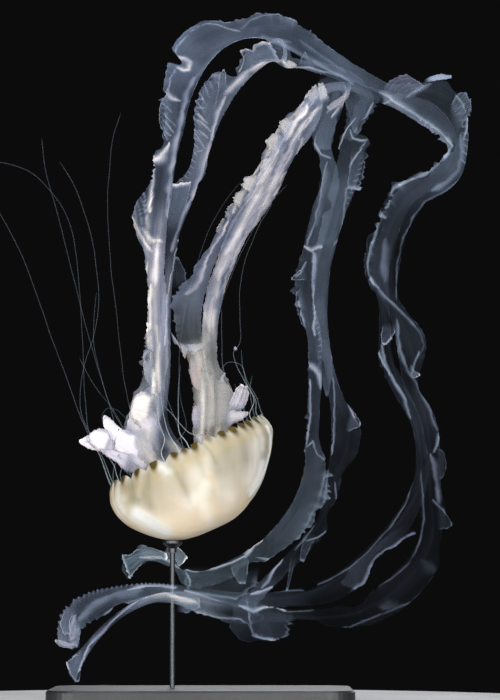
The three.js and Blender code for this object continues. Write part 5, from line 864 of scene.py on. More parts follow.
    dict(a=[(71.5, 49.5, 637.5), (67.5, 48, 612.5), (64.5, 52, 588.5), (64.5, 52, 559.5)], b=[(98.5, 51.5, 640), (95.5, 52, 617), (89, 52, 590.5), (83, 52, 559.5)], film=1.0, milk=0.12, ruffle=0.3, edgew=0, lines=0, bulge=1, rim=0.1),
    dict(a=[(82.5, -8.5, 633.5), (88.5, -9, 617), (96.5, -4, 596), (103.5, 0, 571)], b=[(136.5, -8.5, 615.5), (129.5, -7.5, 601), (118.5, -4.5, 583.5), (107.5, 1, 567)], film=0.75, edgew=0, lines=0.1, ruffle=0.3, bulge=1, rim=0.2),
    dict(a=[(82, 46, 608), (78.5, 43, 619), (74.5, 43.5, 628)], b=[(71.5, 42, 605), (69.5, 42.5, 616.5), (69.5, 43, 625)], film=1, milk=0.8, ruffle=1.3, edgew=0.3, bulge=1.2),
    dict(a=[(66.5, 57, 369), (68.5, 58, 348.5), (71.5, 59, 328), (77.5, 60, 307)], b=[(78.5, 57, 375), (82.5, 57.5, 354.5), (84.5, 58.5, 334.5), (80, 59.5, 308)], film=0.8, ruffle=0.3, edgew=0, lines=0, bulge=0.8, rim=0.15),
    dict(a=[(-73, 56.5, 135), (-67, 57.5, 121), (-65, 57.5, 109)], b=[(12, 60.5, 135), (6, 60, 117), (-14, 59, 100.5)], film=0.35, ruffle=0.6, edgew=0.1, lines=0.2, bulge=1, tint=0.5),
    dict(a=[(-44, -12, 327), (-31, -16, 321), (-21, -20, 312.5), (-13, -24, 302.5)], b=[(-43.5, -12, 275), (-33, -16, 273), (-22, -20, 277), (-12, -24, 288.5)], milk=0.56, cream=0.8, ruffle=0.6, edgew=0.1, lines=0.1, bulge=2, tint=-0.1, rim=0.3, dim=(0.2, 0.5, 0.1)),
    dict(a=[(34, -15.5, 639.5), (36, -16, 635.5), (40, -16.5, 632), (44, -16.5, 632.5)], b=[(37, -16, 641), (41, -16.5, 639.5), (45, -16.5, 637.5), (47.5, -17, 635)], film=1, milk=0.74, ruffle=0.5, bulge=2, lines=0.1, tint=0.1, rim=0.3, warmt=0.3),
    dict(a=[(47, -14, 634.5), (51, -14, 641.5), (55.5, -14, 649)], b=[(68, -14, 629.5), (61, -14, 638.5), (56, -14, 648)], film=1.0, milk=0.04, ruffle=0.5, edgew=0.35),
    dict(a=[(103.5, 45, 630.5), (103.5, 45, 622.5), (100, 45, 613), (91, 45, 604.5), (81.5, 45, 598.5)], b=[(97, 45, 624.5), (97.5, 45, 619), (94, 45, 614), (86, 45, 609), (77.5, 45, 602.5)], film=1, milk=0.62, ruffle=0.8, edgew=0.15, tint=-0.2, rim=0.3, lines=0.1),
    dict(a=[(-52.5, -21, 327.5), (-44.5, -22, 326.5), (-35.5, -23, 323.5)], b=[(-50.5, -21, 268), (-43.5, -22, 267), (-34.5, -23, 269.5)], milk=0.5, cream=0.9, film=1.0, ruffle=0.3, edgew=0, lines=0, rim=0, bulge=1.2),
]


def build_petal(k, p, mat, uvbox):
    a, b = np.array(p["a"], float), np.array(p["b"], float)
    ni, nj = ((34, 26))
    f, v = np.linspace(0, 1, ni), np.linspace(0, 1, nj)[None]
    A, B = course(a, f * course(a)), course(b, f * course(b))
    F = f[:, None]
    w = np.linalg.norm(A - B, axis=1)[:, None]
    seed = 700 + 9 * k
    # ruffled at the free edges, which are a, b and the tip
    edge = np.clip(np.maximum(np.abs(2 * v - 1) ** 3 * smooth(0.05, 0.35, F), F**4), 0, 1)
    rim = F * course(a) + v * 11
    r = p.get("ruffle", 0.8)
    near = smooth(0.0, 0.3, F)
    wave = r * near * (0.9 * edge * pinched(rim / 9, seed) + 0.5 * edge * pinched(rim / 4.2, seed + 1) + 0.8 * noise2(F * 3, v * 3, seed + 2))
    # ruffle and pleat crests, drawn later as whiter lines: a painted highlight, partly folded film
    crest = 0.7 * edge * np.clip(pinched(rim / 9, seed), 0, 1)
    if "pleat" in p:
        n, high = p["pleat"]
        c = np.cos(R2 * n * (v + 0.06 * noise1(F * 4, seed + 3)))
        wave = wave + high * c * smooth(0, 0.4, F)
        crest = np.maximum(crest, np.clip(c, 0, 1) ** 4 * 0.8 * smooth(0.1, 0.5, F))
    bulge = p.get("bulge", 0.12 * w.max()) * np.sin(np.pi * v) * np.sin(np.pi * np.clip(F * 0.8 + 0.15, 0, 1))
    scal = v + (0.05 * edge * pinched(rim / 4.2, seed + 1) + p.get("bteeth", 0) * 0.10 * smooth(0.7, 1, v) * pinched(rim / 3.4, seed + 5)) * near
    mid = A[:, None] * (1 - scal)[..., None] + B[:, None] * scal[..., None]
    mid = mid + np.array([0, -1.0, 0]) * (bulge + wave)[..., None]
    tipdir = unit((A[-1] + B[-1]) / 2 - (A[-4] + B[-4]) / 2)
    nib = (0.55 * pinched(rim / 3.7, seed + 11) + 0.4 * pinched(rim / 8.3, seed + 12)) * near * np.clip(w / 8, 0.2, 1)
    mid = mid + unit(B - A + 1e-9)[:, None] * (nib * np.sign(v - 0.5) * np.abs(2 * v - 1) ** 7)[..., None]
    mid = mid + tipdir * (0.9 * r * F**6 * pinched(v * w[-1] / 3.5 + 0.3, seed + 6))[..., None]
    # petals sit in front of one another by a hair, so no two sheets share a face
    mid = mid - np.array([0, 0.07 * (k % 9), 0])
    milk = p.get("milk", 0.0) * np.ones((ni, nj))
    # a thin white line along the free edges, partly the rim and partly a painted edge highlight
    rim_line = np.maximum(smooth(0.86, 1, np.abs(2 * v - 1)) * smooth(0.15, 0.5, F), smooth(0.88, 1, F))
    fold = p.get("edgew", 0.15) * rim_line * np.clip(0.8 + 0.5 * noise1(rim / 5, seed + 7), 0, 1.2)
    fold = np.maximum(fold, p.get("tipw", 0) * smooth(0.92, 0.97, F + 0.012 * noise1(v * 6, seed + 16)))
    fold = np.maximum(fold, p.get("aw", 0) * (1 - smooth(0.05, 0.25, v)) * np.clip(0.9 + 0.5 * noise1(rim / 4, seed + 8), 0, 1))
    fold = np.maximum(fold, p.get("roott", 0) * (1 - smooth(0.1, 0.35, F)))
    warm = p.get("warmt", 0) * smooth(0.8, 1, F) + p.get("warmb", 0) * smooth(0.85, 1, v)
    warm = np.clip(warm, 0, 1) * smooth(-0.2, 0.5, noise1(rim / 4, seed + 9))
    warm = np.maximum(warm, p.get("peach", 0) * (0.7 + 0.5 * noise2(F * 4, v * 3, seed + 17)))
    warm = np.where(warm > 0.03, warm, -p.get("cream", 0.0))
    half = 0.22 + 0.35 * milk * (1 - edge) + 0.25 * fold
    # soft shade: over all, toward the b side, toward the root
    d0, d1, d2 = p.get("dim", (0, 0, 0))
    dim = d0 + d1 * v ** 1.4 + d2 * (1 - F) ** 1.4 + 0.35 * (d1 + d2) * (noise2(F * 5 + 3, v * 5, seed + 14) - 0.5)
    dim = np.clip(dim, 0, 2.4) * np.ones((ni, nj))
    soft = 1 - 0.42 * smooth(0.6, 1, np.abs(2 * v - 1)) * (0.75 + 0.5 * noise2(F * 6, v * 2, seed + 15)) - 0.3 * smooth(0.8, 1, F)
    soft = 1 - p.get("soft", 1.0) * (1 - soft)
    # the root sinks into the arm and thins away
    film = p.get("film", 1.0) * (0.85 + 0.3 * noise2(F * 4, v * 4, seed + 4)) * (0.04 + 0.96 * smooth(0.02, 0.35, F))
    shell(mid, half * (0.3 + 0.7 * smooth(0, 0.2, F)), uvbox, mat, film=film, milk=milk * (0.15 + 0.85 * smooth(0.0, 0.35, F)) * soft, warm=warm, edge=rim_line * p.get("rim", 0.6), crest=crest * p.get("lines", 0.3), cap=-dim,
          along=0.05 * k + F * course(a) / 1000, side=0.5 + (v - 0.5) * w / 60, fold=fold, gold=0.5 + 0.5 * p.get("tint", 0.0))


# ------------------------------------------------------------------ tentacles and stalk
TENTACLES = [
    (174.6, [(-149, -6, 243), (-162, -4, 268), (-189, 0, 337), (-209, 2, 392), (-230, 4, 447), (-251, 6, 487), (-276, 8, 526), (-309, 10, 557)]),
    (186.2, [(-149, 4, 242), (-161, 6, 268), (-165, 8, 300), (-169, 10, 371), (-173, 12, 427), (-183, 14, 483), (-202, 14, 513), (-222, 12, 531), (-248, 10, 540), (-278, 8, 539), (-304, 4, 530)]),
    (163.0, [(-146, -14, 241), (-159, -14, 265), (-168, -12, 287), (-169, -10, 309), (-165, -10, 334), (-156, -10, 361), (-151, -12, 391), (-153, -14, 431), (-164, -18, 482), (-176, -20, 515), (-190, -22, 537)]),
    (197.7, [(-133, 24, 249), (-138, 26, 283), (-145, 28, 307), (-159, 30, 353), (-171, 32, 395), (-185, 34, 452), (-199, 36, 504), (-207, 36, 534), (-212, 36, 569)]),
    (209.2, [(-121, 36, 250), (-121, 30, 272), (-126, 22, 284), (-136, 16, 292), (-143, 10, 292), (-148, 6, 284), (-147, 4, 276)]),
    (220.7, [(-122, 60, 251), (-130, 60, 277), (-141, 56, 296), (-154, 50, 312), (-165, 46, 329), (-173, 42, 346)]),
    (232.3, [(-114, 68, 248), (-132, 70, 279), (-142, 68, 296), (-151, 64, 323), (-158, 62, 351), (-160, 62, 384), (-157, 62, 414)]),
    (243.8, [(-109, 74, 251), (-119, 74, 279), (-125, 72, 304), (-132, 70, 351), (-138, 70, 402), (-144, 70, 454), (-146, 70, 499), (-145, 70, 539), (-141, 70, 574), (-133, 70, 601)]),
    (108.2, [(-83, -78, 256), (-88, -72, 272), (-90, -68, 292), (-87, -66, 317)]),
    (96.6, [(-79, -80, 262), (-84, -76, 279), (-87, -72, 305), (-87, -70, 329)]),
    (89.5, [(-68, -80, 262), (-70, -76, 281), (-70, -72, 303), (-68, -70, 331)]),
    (80.5, [(-59, -78, 263), (-68, -70, 272), (-78, -62, 284), (-86, -58, 292)]),
    (33.5, [(4, -44, 295), (-6, -46, 317), (-14, -46, 334), (-16, -46, 345), (-12, -46, 350), (-10, -46, 378), (-10, -46, 408), (-5, -46, 433), (6, -48, 463), (22, -50, 491)]),
    (42.6, [(-10, -56, 292), (-21, -52, 310), (-27, -50, 331), (-28, -50, 356), (-28, -50, 387)]),
    (22.2, [(6, -26, 296), (-3, -22, 315), (-10, -20, 334), (-22, -22, 336), (-30, -24, 327)]),
    (359.1, [(6, 14, 305), (-1, 18, 317), (-7, 22, 334), (-9, 26, 352)]),
    (313.0, [(-18, 62, 292), (-29, 64, 320), (-37, 66, 353), (-34, 66, 380), (-29, 66, 402), (-18, 66, 435), (0, 68, 473), (17, 68, 502), (38, 68, 526)]),
    (255.4, [(-66, 86, 277), (-71, 84, 305), (-73, 82, 346), (-67, 80, 396), (-58, 78, 433), (-44, 78, 476), (-29, 78, 505), (-10, 78, 530)]),
    (266.9, [(-74, 90, 279), (-84, 84, 305), (-92, 78, 334), (-94, 74, 366), (-92, 72, 395)]),
    (278.4, [(-55, 84, 266), (-53, 78, 280), (-47, 74, 307), (-43, 72, 339), (-41, 72, 372)]),
    (301.5, [(-32, 74, 286), (-37, 70, 313), (-45, 68, 333), (-53, 68, 349), (-58, 68, 370)]),
    (324.5, [(-6, 54, 293), (-10, 50, 309), (-16, 46, 319)]),
    (336.0, [(2, 38, 298), (0, 38, 312), (2, 40, 327)]),
    (151.5, [(-134, -34, 233), (-141, -30, 244), (-144, -24, 253)]),
]
# how plainly each one shows near its root
TENT_CLEAR = [.4, .25, .25, .15, .3, .1, .15, .1, 1, .9, .8, .4, .5, .2, .2, .1, .3, .2, .2, .2, .2, .1, .1, .4]
spoke_clefts = []
for k in range(LAPPETS):
    a, b = tips[k], (tips[k + 1] if k + 1 < LAPPETS else tips[0] + R2)
    spoke_clefts.append((a + b) / 2)


def build_tentacle(k, cleft, way, mat, uvbox):
    c = math.radians(cleft)
    best = min(spoke_clefts, key=lambda a: abs((a - c + math.pi) % R2 - math.pi))
    r, _ = meridian(np.array([c]), np.array([0.0]))
    root = [bell_point(best, r[0] - WALL_MARGIN * 0.4, h) for h in (0.6, -7.0)]
    rows = np.array([*root, *[np.array(p, float) for p in way]])
    L = course(rows)
    n = max(12, int(L / (2.6)))
    s = np.linspace(0, L, n)
    P = course(rows, s)
    wig = smooth(10, 60, s) * (1 - smooth(L - 20, L, s))
    P = P + np.stack([0.5 * noise1(s / 21, 300 + k) * wig, 0.8 * noise1(s / 33, 400 + k) * wig, 0 * s], 1)
    T = unit(np.gradient(P, axis=0))
    across = np.array([0.3, 1, 0.1])
    ring = []
    rad = (0.52 + (0.33 - 0.52) * np.minimum(1, s / 120) ** 0.7) * (1 + 0.10 * np.sin(R2 * s / 7.3 + k) * smooth(0, 30, s)) * (0.3 + 0.7 * smooth(0, 6, L - s))
    m = 6
    for i in range(n):
        across = across - T[i] * across.dot(T[i])
        across = across / np.linalg.norm(across)
        other = np.cross(T[i], across)
        th = R2 * np.arange(m) / m
        ring.append(P[i] + rad[i] * (np.cos(th)[:, None] * across + np.sin(th)[:, None] * other))
    V = np.concatenate([np.array(ring).reshape(-1, 3), [P[0]], [P[-1]]])
    idx = np.arange(n * m).reshape(n, m)
    nx = np.roll(idx, -1, 1)
    q = np.stack([idx[:-1], nx[:-1], nx[1:], idx[1:]], -1).reshape(-1, 4)
    c0 = np.stack([idx[0], np.full(m, n * m), np.full(m, n * m), nx[0]], -1)
    c1 = np.stack([idx[-1], nx[-1], np.full(m, n * m + 1), np.full(m, n * m + 1)], -1)
    u0, v0, u1, v1 = uvbox
    uu = np.repeat(np.linspace(u0, u1, n)[:, None], m, 1)
    vv = np.repeat((v0 + (v1 - v0) * np.abs(np.arange(m) - m / 2) / (m / 2))[None], n, 0)
    uv = np.concatenate([np.stack([uu, vv], -1).reshape(-1, 2), [[u0, v0]], [[u1, v1]]])
    al = np.concatenate([np.repeat(s, m), [0], [L]]) / 100
    put(V, np.concatenate([q, c0, c1]), uv, mat, along=al, film=1.0, milk=np.clip(1 - al / 0.9, 0, 1), side=TENT_CLEAR[k])


def build_stalk(mat):
    prof = [(0.2, 71.5), (14, 71.4), (27, 70.0), (22.5, 66), (19, 62), (16.5, 58), (15, 54), (14.3, 48), (14.3, 43), (15, 38), (15.2, 34.6), (13, 33.6), (8, 33.2), (0.2, 33.0)]
    n = 96
    a = np.linspace(0, R2, n, endpoint=False)
    rings = []
    for r, u in prof:
        rr = r * (1 + 0.14 * np.cos(4 * a) + 0.02 * noise1(a * 9, 31)) * 0.985
        rings.append(bell_point(a, rr, u - (0.0 if r < 26 else 0.0)))
    V = np.array(rings)
    m = len(prof)
    idx = np.arange(m * n).reshape(m, n)
    nx = np.roll(idx, -1, 1)
    q = np.stack([idx[:-1], nx[:-1], nx[1:], idx[1:]], -1).reshape(-1, 4)
    verts = np.concatenate([V.reshape(-1, 3), bell_point(0.0, 0.0, np.array(71.5))[None], bell_point(0.0, 0.0, np.array(33.0))[None]])
    c0 = np.stack([idx[0], np.full(n, m * n), np.full(n, m * n), nx[0]], -1)
    c1 = np.stack([idx[-1], nx[-1], np.full(n, m * n + 1), np.full(n, m * n + 1)], -1)
    gu, gv = np.meshgrid(np.linspace(0.72, 0.98, m), np.linspace(0.84, 0.98, n), indexing="ij")
    uv = np.concatenate([np.stack([gu, gv], -1).reshape(-1, 2), [[0.72, 0.84]], [[0.98, 0.98]]])
    put(verts, np.concatenate([q, c0, c1]), uv, mat, film=1.2, milk=0.95, along=0.02)


BELL, ARM, TENT = 0, 1, 2
build_bell(BELL)
build_stalk(ARM)
for k in range(4):
    build_arm(k, ARM, (0.01, 0.02 + 0.075 * k, 0.99, 0.085 + 0.075 * k))
for k, petal in enumerate(PETALS):
    u, v = 0.47 + 0.052 * (k % 10), 0.465 + 0.045 * (k // 10)
    build_petal(k, petal, ARM, (u, v, u + 0.046, v + 0.039))
for k, (cleft, way) in enumerate(TENTACLES):
    build_tentacle(k, cleft, way, TENT, (0.01, 0.325 + 0.0052 * k, 0.99, 0.3285 + 0.0052 * k))

# ------------------------------------------------------------------ the skin as one mesh
V = (np.concatenate(build["v"]) + PLACE) / 1000
F = np.concatenate(build["f"])
UV = np.concatenate(build["uv"])
M = np.concatenate(build["mat"])
tri = F[:, 1] == F[:, 2]
tri2 = F[:, 2] == F[:, 3]
faces_t = np.concatenate([F[tri][:, [0, 1, 3]], F[tri2][:, [0, 1, 2]]])
mat_t = np.concatenate([M[tri], M[tri2]])
quad = ~(tri | tri2)
faces_q, mat_q = F[quad], M[quad]
me = bpy.data.meshes.new("skin")
nq, nt = len(faces_q), len(faces_t)
me.vertices.add(len(V))
me.vertices.foreach_set("co", V.astype(np.float32).ravel())
loops = np.concatenate([faces_q.ravel(), faces_t.ravel()]).astype(np.int32)
me.loops.add(len(loops))
me.loops.foreach_set("vertex_index", loops)
me.polygons.add(nq + nt)
starts = np.concatenate([np.arange(nq) * 4, nq * 4 + np.arange(nt) * 3]).astype(np.int32)
me.polygons.foreach_set("loop_start", starts)
me.polygons.foreach_set("material_index", np.concatenate([mat_q, mat_t]).astype(np.int32))
me.polygons.foreach_set("use_smooth", np.ones(nq + nt, bool))
me.update(calc_edges=True)
layer = me.uv_layers.new(name="OFBake")
layer.data.foreach_set("uv", UV[loops].astype(np.float32).ravel())
for c in CHANNELS:
    at = me.attributes.new(c, "FLOAT", "POINT")
    at.data.foreach_set("value", np.concatenate(build[c]).astype(np.float32))
me.validate()
skin = bpy.data.objects.new("skin", me)
bpy.context.scene.collection.objects.link(skin)
print("skin faces", len(me.polygons), "verts", len(me.vertices))


# ------------------------------------------------------------------ materials
def material(name):
    m = bpy.data.materials.new(name)
    m.use_nodes = True
    nt = m.node_tree
    nt.nodes.clear()
    out = nt.nodes.new("ShaderNodeOutputMaterial")
    p = nt.nodes.new("ShaderNodeBsdfPrincipled")
    nt.links.new(p.outputs[0], out.inputs[0])
    return m, nt, p


class Nodes:
    def __init__(self, nt):
        self.nt = nt

    def attr(self, name):
        n = self.nt.nodes.new("ShaderNodeAttribute")
        n.attribute_name = name
        return n.outputs["Fac"]

    def link(self, a, b):
        self.nt.links.new(a, b)

    def math(self, op, a, b=None, c=None, clamp=False):
        n = self.nt.nodes.new("ShaderNodeMath")
        n.operation = op
        n.use_clamp = clamp
        for i, x in enumerate((a, b, c)):
            if x is None:
                continue
            if isinstance(x, (int, float)):
                n.inputs[i].default_value = x
            else:
                self.link(x, n.inputs[i])
        return n.outputs[0]

    def ramp(self, x, stops, kind="EASE"):
        n = self.nt.nodes.new("ShaderNodeValToRGB")
        n.color_ramp.interpolation = kind
        el = n.color_ramp.elements
        while len(el) > 1:
            el.remove(el[-1])
        for i, (pos, colour) in enumerate(stops):
            e = el[0] if i == 0 else el.new(pos)
            e.position = pos
            e.color = (*colour, 1) if len(colour) == 3 else colour
        self.link(x, n.inputs[0])
        return n.outputs[0]

    def mix(self, f, a, b):
        n = self.nt.nodes.new("ShaderNodeMix")
        n.data_type = "RGBA"
        for sock, x in ((n.inputs[0], f), (n.inputs[6], a), (n.inputs[7], b)):
            if isinstance(x, (int, float)):
                sock.default_value = x
            elif isinstance(x, tuple):
                sock.default_value = (*x, 1)
            else:
                self.link(x, sock)
        return n.outputs[2]

    def noise(self, scale, detail=3, rough=0.5, vector=None, stretch=None):
        n = self.nt.nodes.new("ShaderNodeTexNoise")
        n.inputs["Scale"].default_value = scale
        n.inputs["Detail"].default_value = detail
        n.inputs["Roughness"].default_value = rough
        if vector is None:
            tc = self.nt.nodes.new("ShaderNodeTexCoord")
            vector = tc.outputs["Object"]
        if stretch:
            mp = self.nt.nodes.new("ShaderNodeMapping")
            mp.inputs["Scale"].default_value = stretch
            self.link(vector, mp.inputs[0])
            vector = mp.outputs[0]
        self.link(vector, n.inputs["Vector"])
        return n.outputs[0]

    def combine(self, x, y, z):
        n = self.nt.nodes.new("ShaderNodeCombineXYZ")
        for i, v in enumerate((x, y, z)):
            if isinstance(v, (int, float)):
                n.inputs[i].default_value = v
            else:
                self.link(v, n.inputs[i])
        return n.outputs[0]

    def bump(self, height, strength, distance):
        n = self.nt.nodes.new("ShaderNodeBump")
        n.inputs["Strength"].default_value = strength
        n.inputs["Distance"].default_value = distance
        self.link(height, n.inputs["Height"])
        return n.outputs[0]


def lin(r, g, b):
    """A colour given as it is seen, 0 to 255, in the numbers a shader takes."""
    f = lambda c: c / 255 / 12.92 if c / 255 <= 0.04045 else ((c / 255 + 0.055) / 1.055) ** 2.4
    return (f(r), f(g), f(b))


# arms: thin clear film, white where the tissue is close, folded or rolled, with painted highlights along edges, crests
# and bands and painted shade between strands
def arm_material():
    m, nt, p = material("arm_film")
    N = Nodes(nt)
    milk, film, rib, edge, crest, warm, along, side, fold, tint = (N.attr(a) for a in ("milk", "film", "cap", "edge", "crest", "warm", "along", "side", "fold", "gold"))
    grain = N.noise(160, 4, 0.6)
    cloud = N.noise(45, 3, 0.55)
    run = N.noise(1, 3, 0.6, vector=N.combine(N.math("MULTIPLY", along, 16.0), N.math("MULTIPLY", side, 46.0), 0.0))
    fibre = N.noise(1, 3, 0.6, vector=N.combine(N.math("MULTIPLY", along, 34.0), N.math("MULTIPLY", side, 64.0), 3.0))
    sweep = N.noise(1, 3, 0.5, vector=N.combine(N.math("MULTIPLY", along, 42.0), N.math("MULTIPLY", side, 16.0), 7.0))
    white = N.math("ADD", N.math("MULTIPLY", milk, 0.8), N.math("MULTIPLY", rib, 0.15))
    # edge lines and crests are drawn whiter: painted highlights, partly rolled and folded film
    white = N.math("ADD", white, N.math("MULTIPLY", edge, 0.2))
    white = N.math("ADD", white, N.math("MULTIPLY", crest, 0.2))
    # fold whiteness: the bands on the arms and the rim lines on the petals, partly pale folded tissue and partly
    # painted highlights
    white = N.math("ADD", white, N.math("MULTIPLY", fold, 0.8))
    white = N.math("ADD", white, N.math("MULTIPLY_ADD", run, 0.3, -0.15), clamp=True)
    colour = N.ramp(white, [(0, lin(138, 157, 187)), (0.3, lin(150, 163, 189)), (0.55, lin(178, 176, 181)), (0.78, lin(214, 211, 212)), (1, lin(254, 252, 251))], "LINEAR")
    lav = N.math("MULTIPLY", N.math("MULTIPLY_ADD", tint, -2.0, 1.0, clamp=True), 0.5)
    teal = N.math("MULTIPLY", N.math("MULTIPLY_ADD", tint, 2.0, -1.0, clamp=True), 0.6)
    colour = N.mix(lav, colour, N.ramp(white, [(0, lin(146, 150, 190)), (0.6, lin(178, 174, 206)), (1, lin(236, 230, 254))], "LINEAR"))
    colour = N.mix(teal, colour, N.ramp(white, [(0, lin(134, 166, 176)), (0.6, lin(168, 190, 192)), (1, lin(238, 250, 246))], "LINEAR"))
    # soft shade between the strands of the thick milky parts
    shade = N.math("MULTIPLY", N.math("SUBTRACT", 0.62, N.math("MULTIPLY_ADD", sweep, 0.7, N.math("MULTIPLY", fibre, 0.35)), clamp=True), N.math("MULTIPLY", N.math("MULTIPLY", milk, 5.0), N.math("MULTIPLY_ADD", milk, -1.6, 1.5, clamp=True)), clamp=True)
    colour = N.mix(shade, colour, N.ramp(white, [(0, lin(110, 118, 134)), (1, lin(150, 146, 140))], "LINEAR"))
    colour = N.mix(N.math("MULTIPLY", warm, N.math("MULTIPLY_ADD", grain, 1.2, 0.0, clamp=True)), colour, lin(244, 172, 92))
    colour = N.mix(N.math("MULTIPLY", N.math("SUBTRACT", cloud, 0.45, clamp=True), N.math("MULTIPLY", N.math("SUBTRACT", 1.25, milk), N.math("MULTIPLY", milk, 1.5))), colour, lin(206, 196, 174))
    colour = N.mix(N.math("MULTIPLY", warm, -0.8, clamp=True), colour, N.ramp(white, [(0, lin(136, 136, 129)), (0.5, lin(170, 166, 156)), (1, lin(248, 243, 234))], "LINEAR"))
    N.link(colour, p.inputs["Base Color"])
    a = N.math("MULTIPLY", film, N.math("MULTIPLY_ADD", cloud, 0.05, 0.034))
    a = N.math("ADD", a, N.math("MULTIPLY", rib, 0.12))
    root = N.math("POWER", film, 0.6)
    a = N.math("ADD", a, N.math("MULTIPLY", N.math("MULTIPLY", edge, root), 0.40))
    a = N.math("ADD", a, N.math("MULTIPLY", N.math("MULTIPLY", crest, root), 0.26))
    a = N.math("ADD", a, N.math("MULTIPLY", N.math("MULTIPLY", N.math("SUBTRACT", run, 0.52, clamp=True), film), 0.07))
    m2 = N.math("POWER", milk, 1.6)
    a = N.math("ADD", a, N.math("MULTIPLY", m2, N.math("ADD", N.math("MULTIPLY_ADD", run, 0.7, 0.15), N.math("MULTIPLY", fibre, 0.5))))
    a = N.math("ADD", a, N.math("MULTIPLY", fold, N.math("MULTIPLY_ADD", fibre, 0.7, 0.35)), clamp=True)
    a = N.math("MULTIPLY_ADD", N.math("MULTIPLY_ADD", milk, 3.0, -2.3, clamp=True), 0.45, a)
    a = N.math("MINIMUM", a, 0.97)
    N.link(a, p.inputs["Alpha"])
    N.link(N.math("MULTIPLY_ADD", cloud, 0.3, 0.22), p.inputs["Roughness"])
    p.inputs["IOR"].default_value = 1.36
    p.inputs["Specular IOR Level"].default_value = 0.22
    fine = N.math("ADD", N.math("MULTIPLY", fibre, 0.7), N.math("MULTIPLY", grain, 0.3))
    N.link(N.bump(fine, 0.14, 0.001), p.inputs["Normal"])
    return m


def bell_material():
    m, nt, p = material("bell_jelly")
    N = Nodes(nt)
    cap, gold, flute, rimband, low, side, along, inside, pale, warm = (N.attr(a) for a in ("cap", "gold", "flute", "rimband", "low", "side", "along", "edge", "fold", "warm"))
    cloud = N.noise(20, 4, 0.55)
    fine = N.noise(120, 4, 0.6)
    streak = N.noise(1, 3, 0.55, vector=N.combine(N.math("MULTIPLY", side, 60.0), N.math("MULTIPLY", low, 4.0), 0.0))
    # base colour by height: lighter and warmer at the bottom, greyer up the bell, partly the jelly's tone and partly
    # painted light and shade
    base = N.ramp(low, [(0, lin(240, 223, 196)), (0.16, lin(221, 208, 189)), (0.4, lin(188, 180, 167)), (0.7, lin(168, 162, 151)), (1, lin(163, 157, 145))], "LINEAR")
    base = N.mix(N.math("MULTIPLY", N.math("SUBTRACT", cloud, 0.42, clamp=True), 1.2), base, lin(200, 192, 168))
    # painted shade along the bell's right-hand limb
    base = N.mix(N.math("MULTIPLY", rimband, 0.55), base, lin(176, 178, 160))
    # painted warm glow from the gold marks, carried in the bell's warm numbers
    base = N.mix(N.math("MULTIPLY", warm, 0.8), base, lin(226, 200, 150))
    # painted olive shade from the marks and the far side's streaks, partly the jelly's olive tone
    base = N.mix(N.math("MULTIPLY", flute, N.math("MULTIPLY_ADD", streak, 0.3, 0.75), clamp=True), base, lin(142, 139, 121))
    # painted highlights from the white marks
    base = N.mix(pale, base, lin(250, 247, 242))
    base = N.mix(N.math("MULTIPLY", gold, 0.45), base, lin(160, 140, 92))
    brown = N.mix(N.math("MULTIPLY_ADD", fine, 1.6, -0.3, clamp=True), lin(46, 38, 6), lin(88, 72, 22))
    base = N.mix(N.math("MULTIPLY", cap, 0.95, clamp=True), base, brown)
    N.link(base, p.inputs["Base Color"])
    N.link(N.math("MULTIPLY_ADD", cap, -0.72, 0.8, clamp=True), p.inputs["Subsurface Weight"])
    p.inputs["Subsurface Radius"].default_value = (1.0, 0.8, 0.55)
    p.inputs["Subsurface Scale"].default_value = 0.009
    N.link(N.math("MULTIPLY_ADD", cloud, 0.25, 0.32), p.inputs["Roughness"])
    p.inputs["IOR"].default_value = 1.36
    p.inputs["Specular IOR Level"].default_value = 0.25
    N.link(N.bump(N.math("ADD", N.math("MULTIPLY", fine, 0.4), N.math("MULTIPLY", streak, 0.6)), 0.15, 0.001), p.inputs["Normal"])
    return m


def tentacle_material():
    m, nt, p = material("tentacle_thread")
    N = Nodes(nt)
    along, milk, side = N.attr("along"), N.attr("milk"), N.attr("side")
    beads = N.noise(420, 2, 0.5)
    colour = N.mix(milk, lin(150, 166, 184), lin(184, 204, 210))
    N.link(colour, p.inputs["Base Color"])
    a = N.math("MULTIPLY_ADD", N.math("POWER", milk, 1.3), N.math("MULTIPLY_ADD", side, 0.34, 0.015), 0.055)
    N.link(N.math("MULTIPLY", a, N.math("MULTIPLY_ADD", beads, 0.8, 0.6)), p.inputs["Alpha"])
    N.link(N.math("MULTIPLY_ADD", beads, 0.3, 0.25), p.inputs["Roughness"])
    return m


def base_material():
    m, nt, p = material("stand_acrylic")
    N = Nodes(nt)
    n = N.noise(30, 4, 0.6)
    scr = N.noise(14, 6, 0.7, stretch=(1, 9, 1))
    N.link(N.ramp(n, [(0.3, lin(22, 23, 26)), (0.7, lin(33, 34, 38))]), p.inputs["Base Color"])
    N.link(N.math("MULTIPLY_ADD", scr, 0.22, 0.36), p.inputs["Roughness"])
    N.link(N.bump(scr, 0.04, 0.0006), p.inputs["Normal"])
    p.inputs["Coat Weight"].default_value = 0.05
    return m


def steel_material():
    m, nt, p = material("stand_steel")
    N = Nodes(nt)
    n = N.noise(900, 3, 0.6, stretch=(1, 1, 0.03))
    N.link(N.ramp(n, [(0.3, lin(60, 62, 65)), (0.7, lin(84, 86, 89))]), p.inputs["Base Color"])
    p.inputs["Metallic"].default_value = 1.0
    N.link(N.math("MULTIPLY_ADD", n, 0.25, 0.34), p.inputs["Roughness"])
    N.link(N.bump(n, 0.12, 0.0004), p.inputs["Normal"])
    return m


me.materials.append(bell_material())
me.materials.append(arm_material())
me.materials.append(tentacle_material())
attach(skin, "root")
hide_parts(*[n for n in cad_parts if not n.startswith("stand_")])

acrylic, steel = base_material(), steel_material()
for name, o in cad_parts.items():
    if name.startswith("stand_"):
        o.data.materials.clear()
        o.data.materials.append(acrylic if name == "stand_base" else steel)

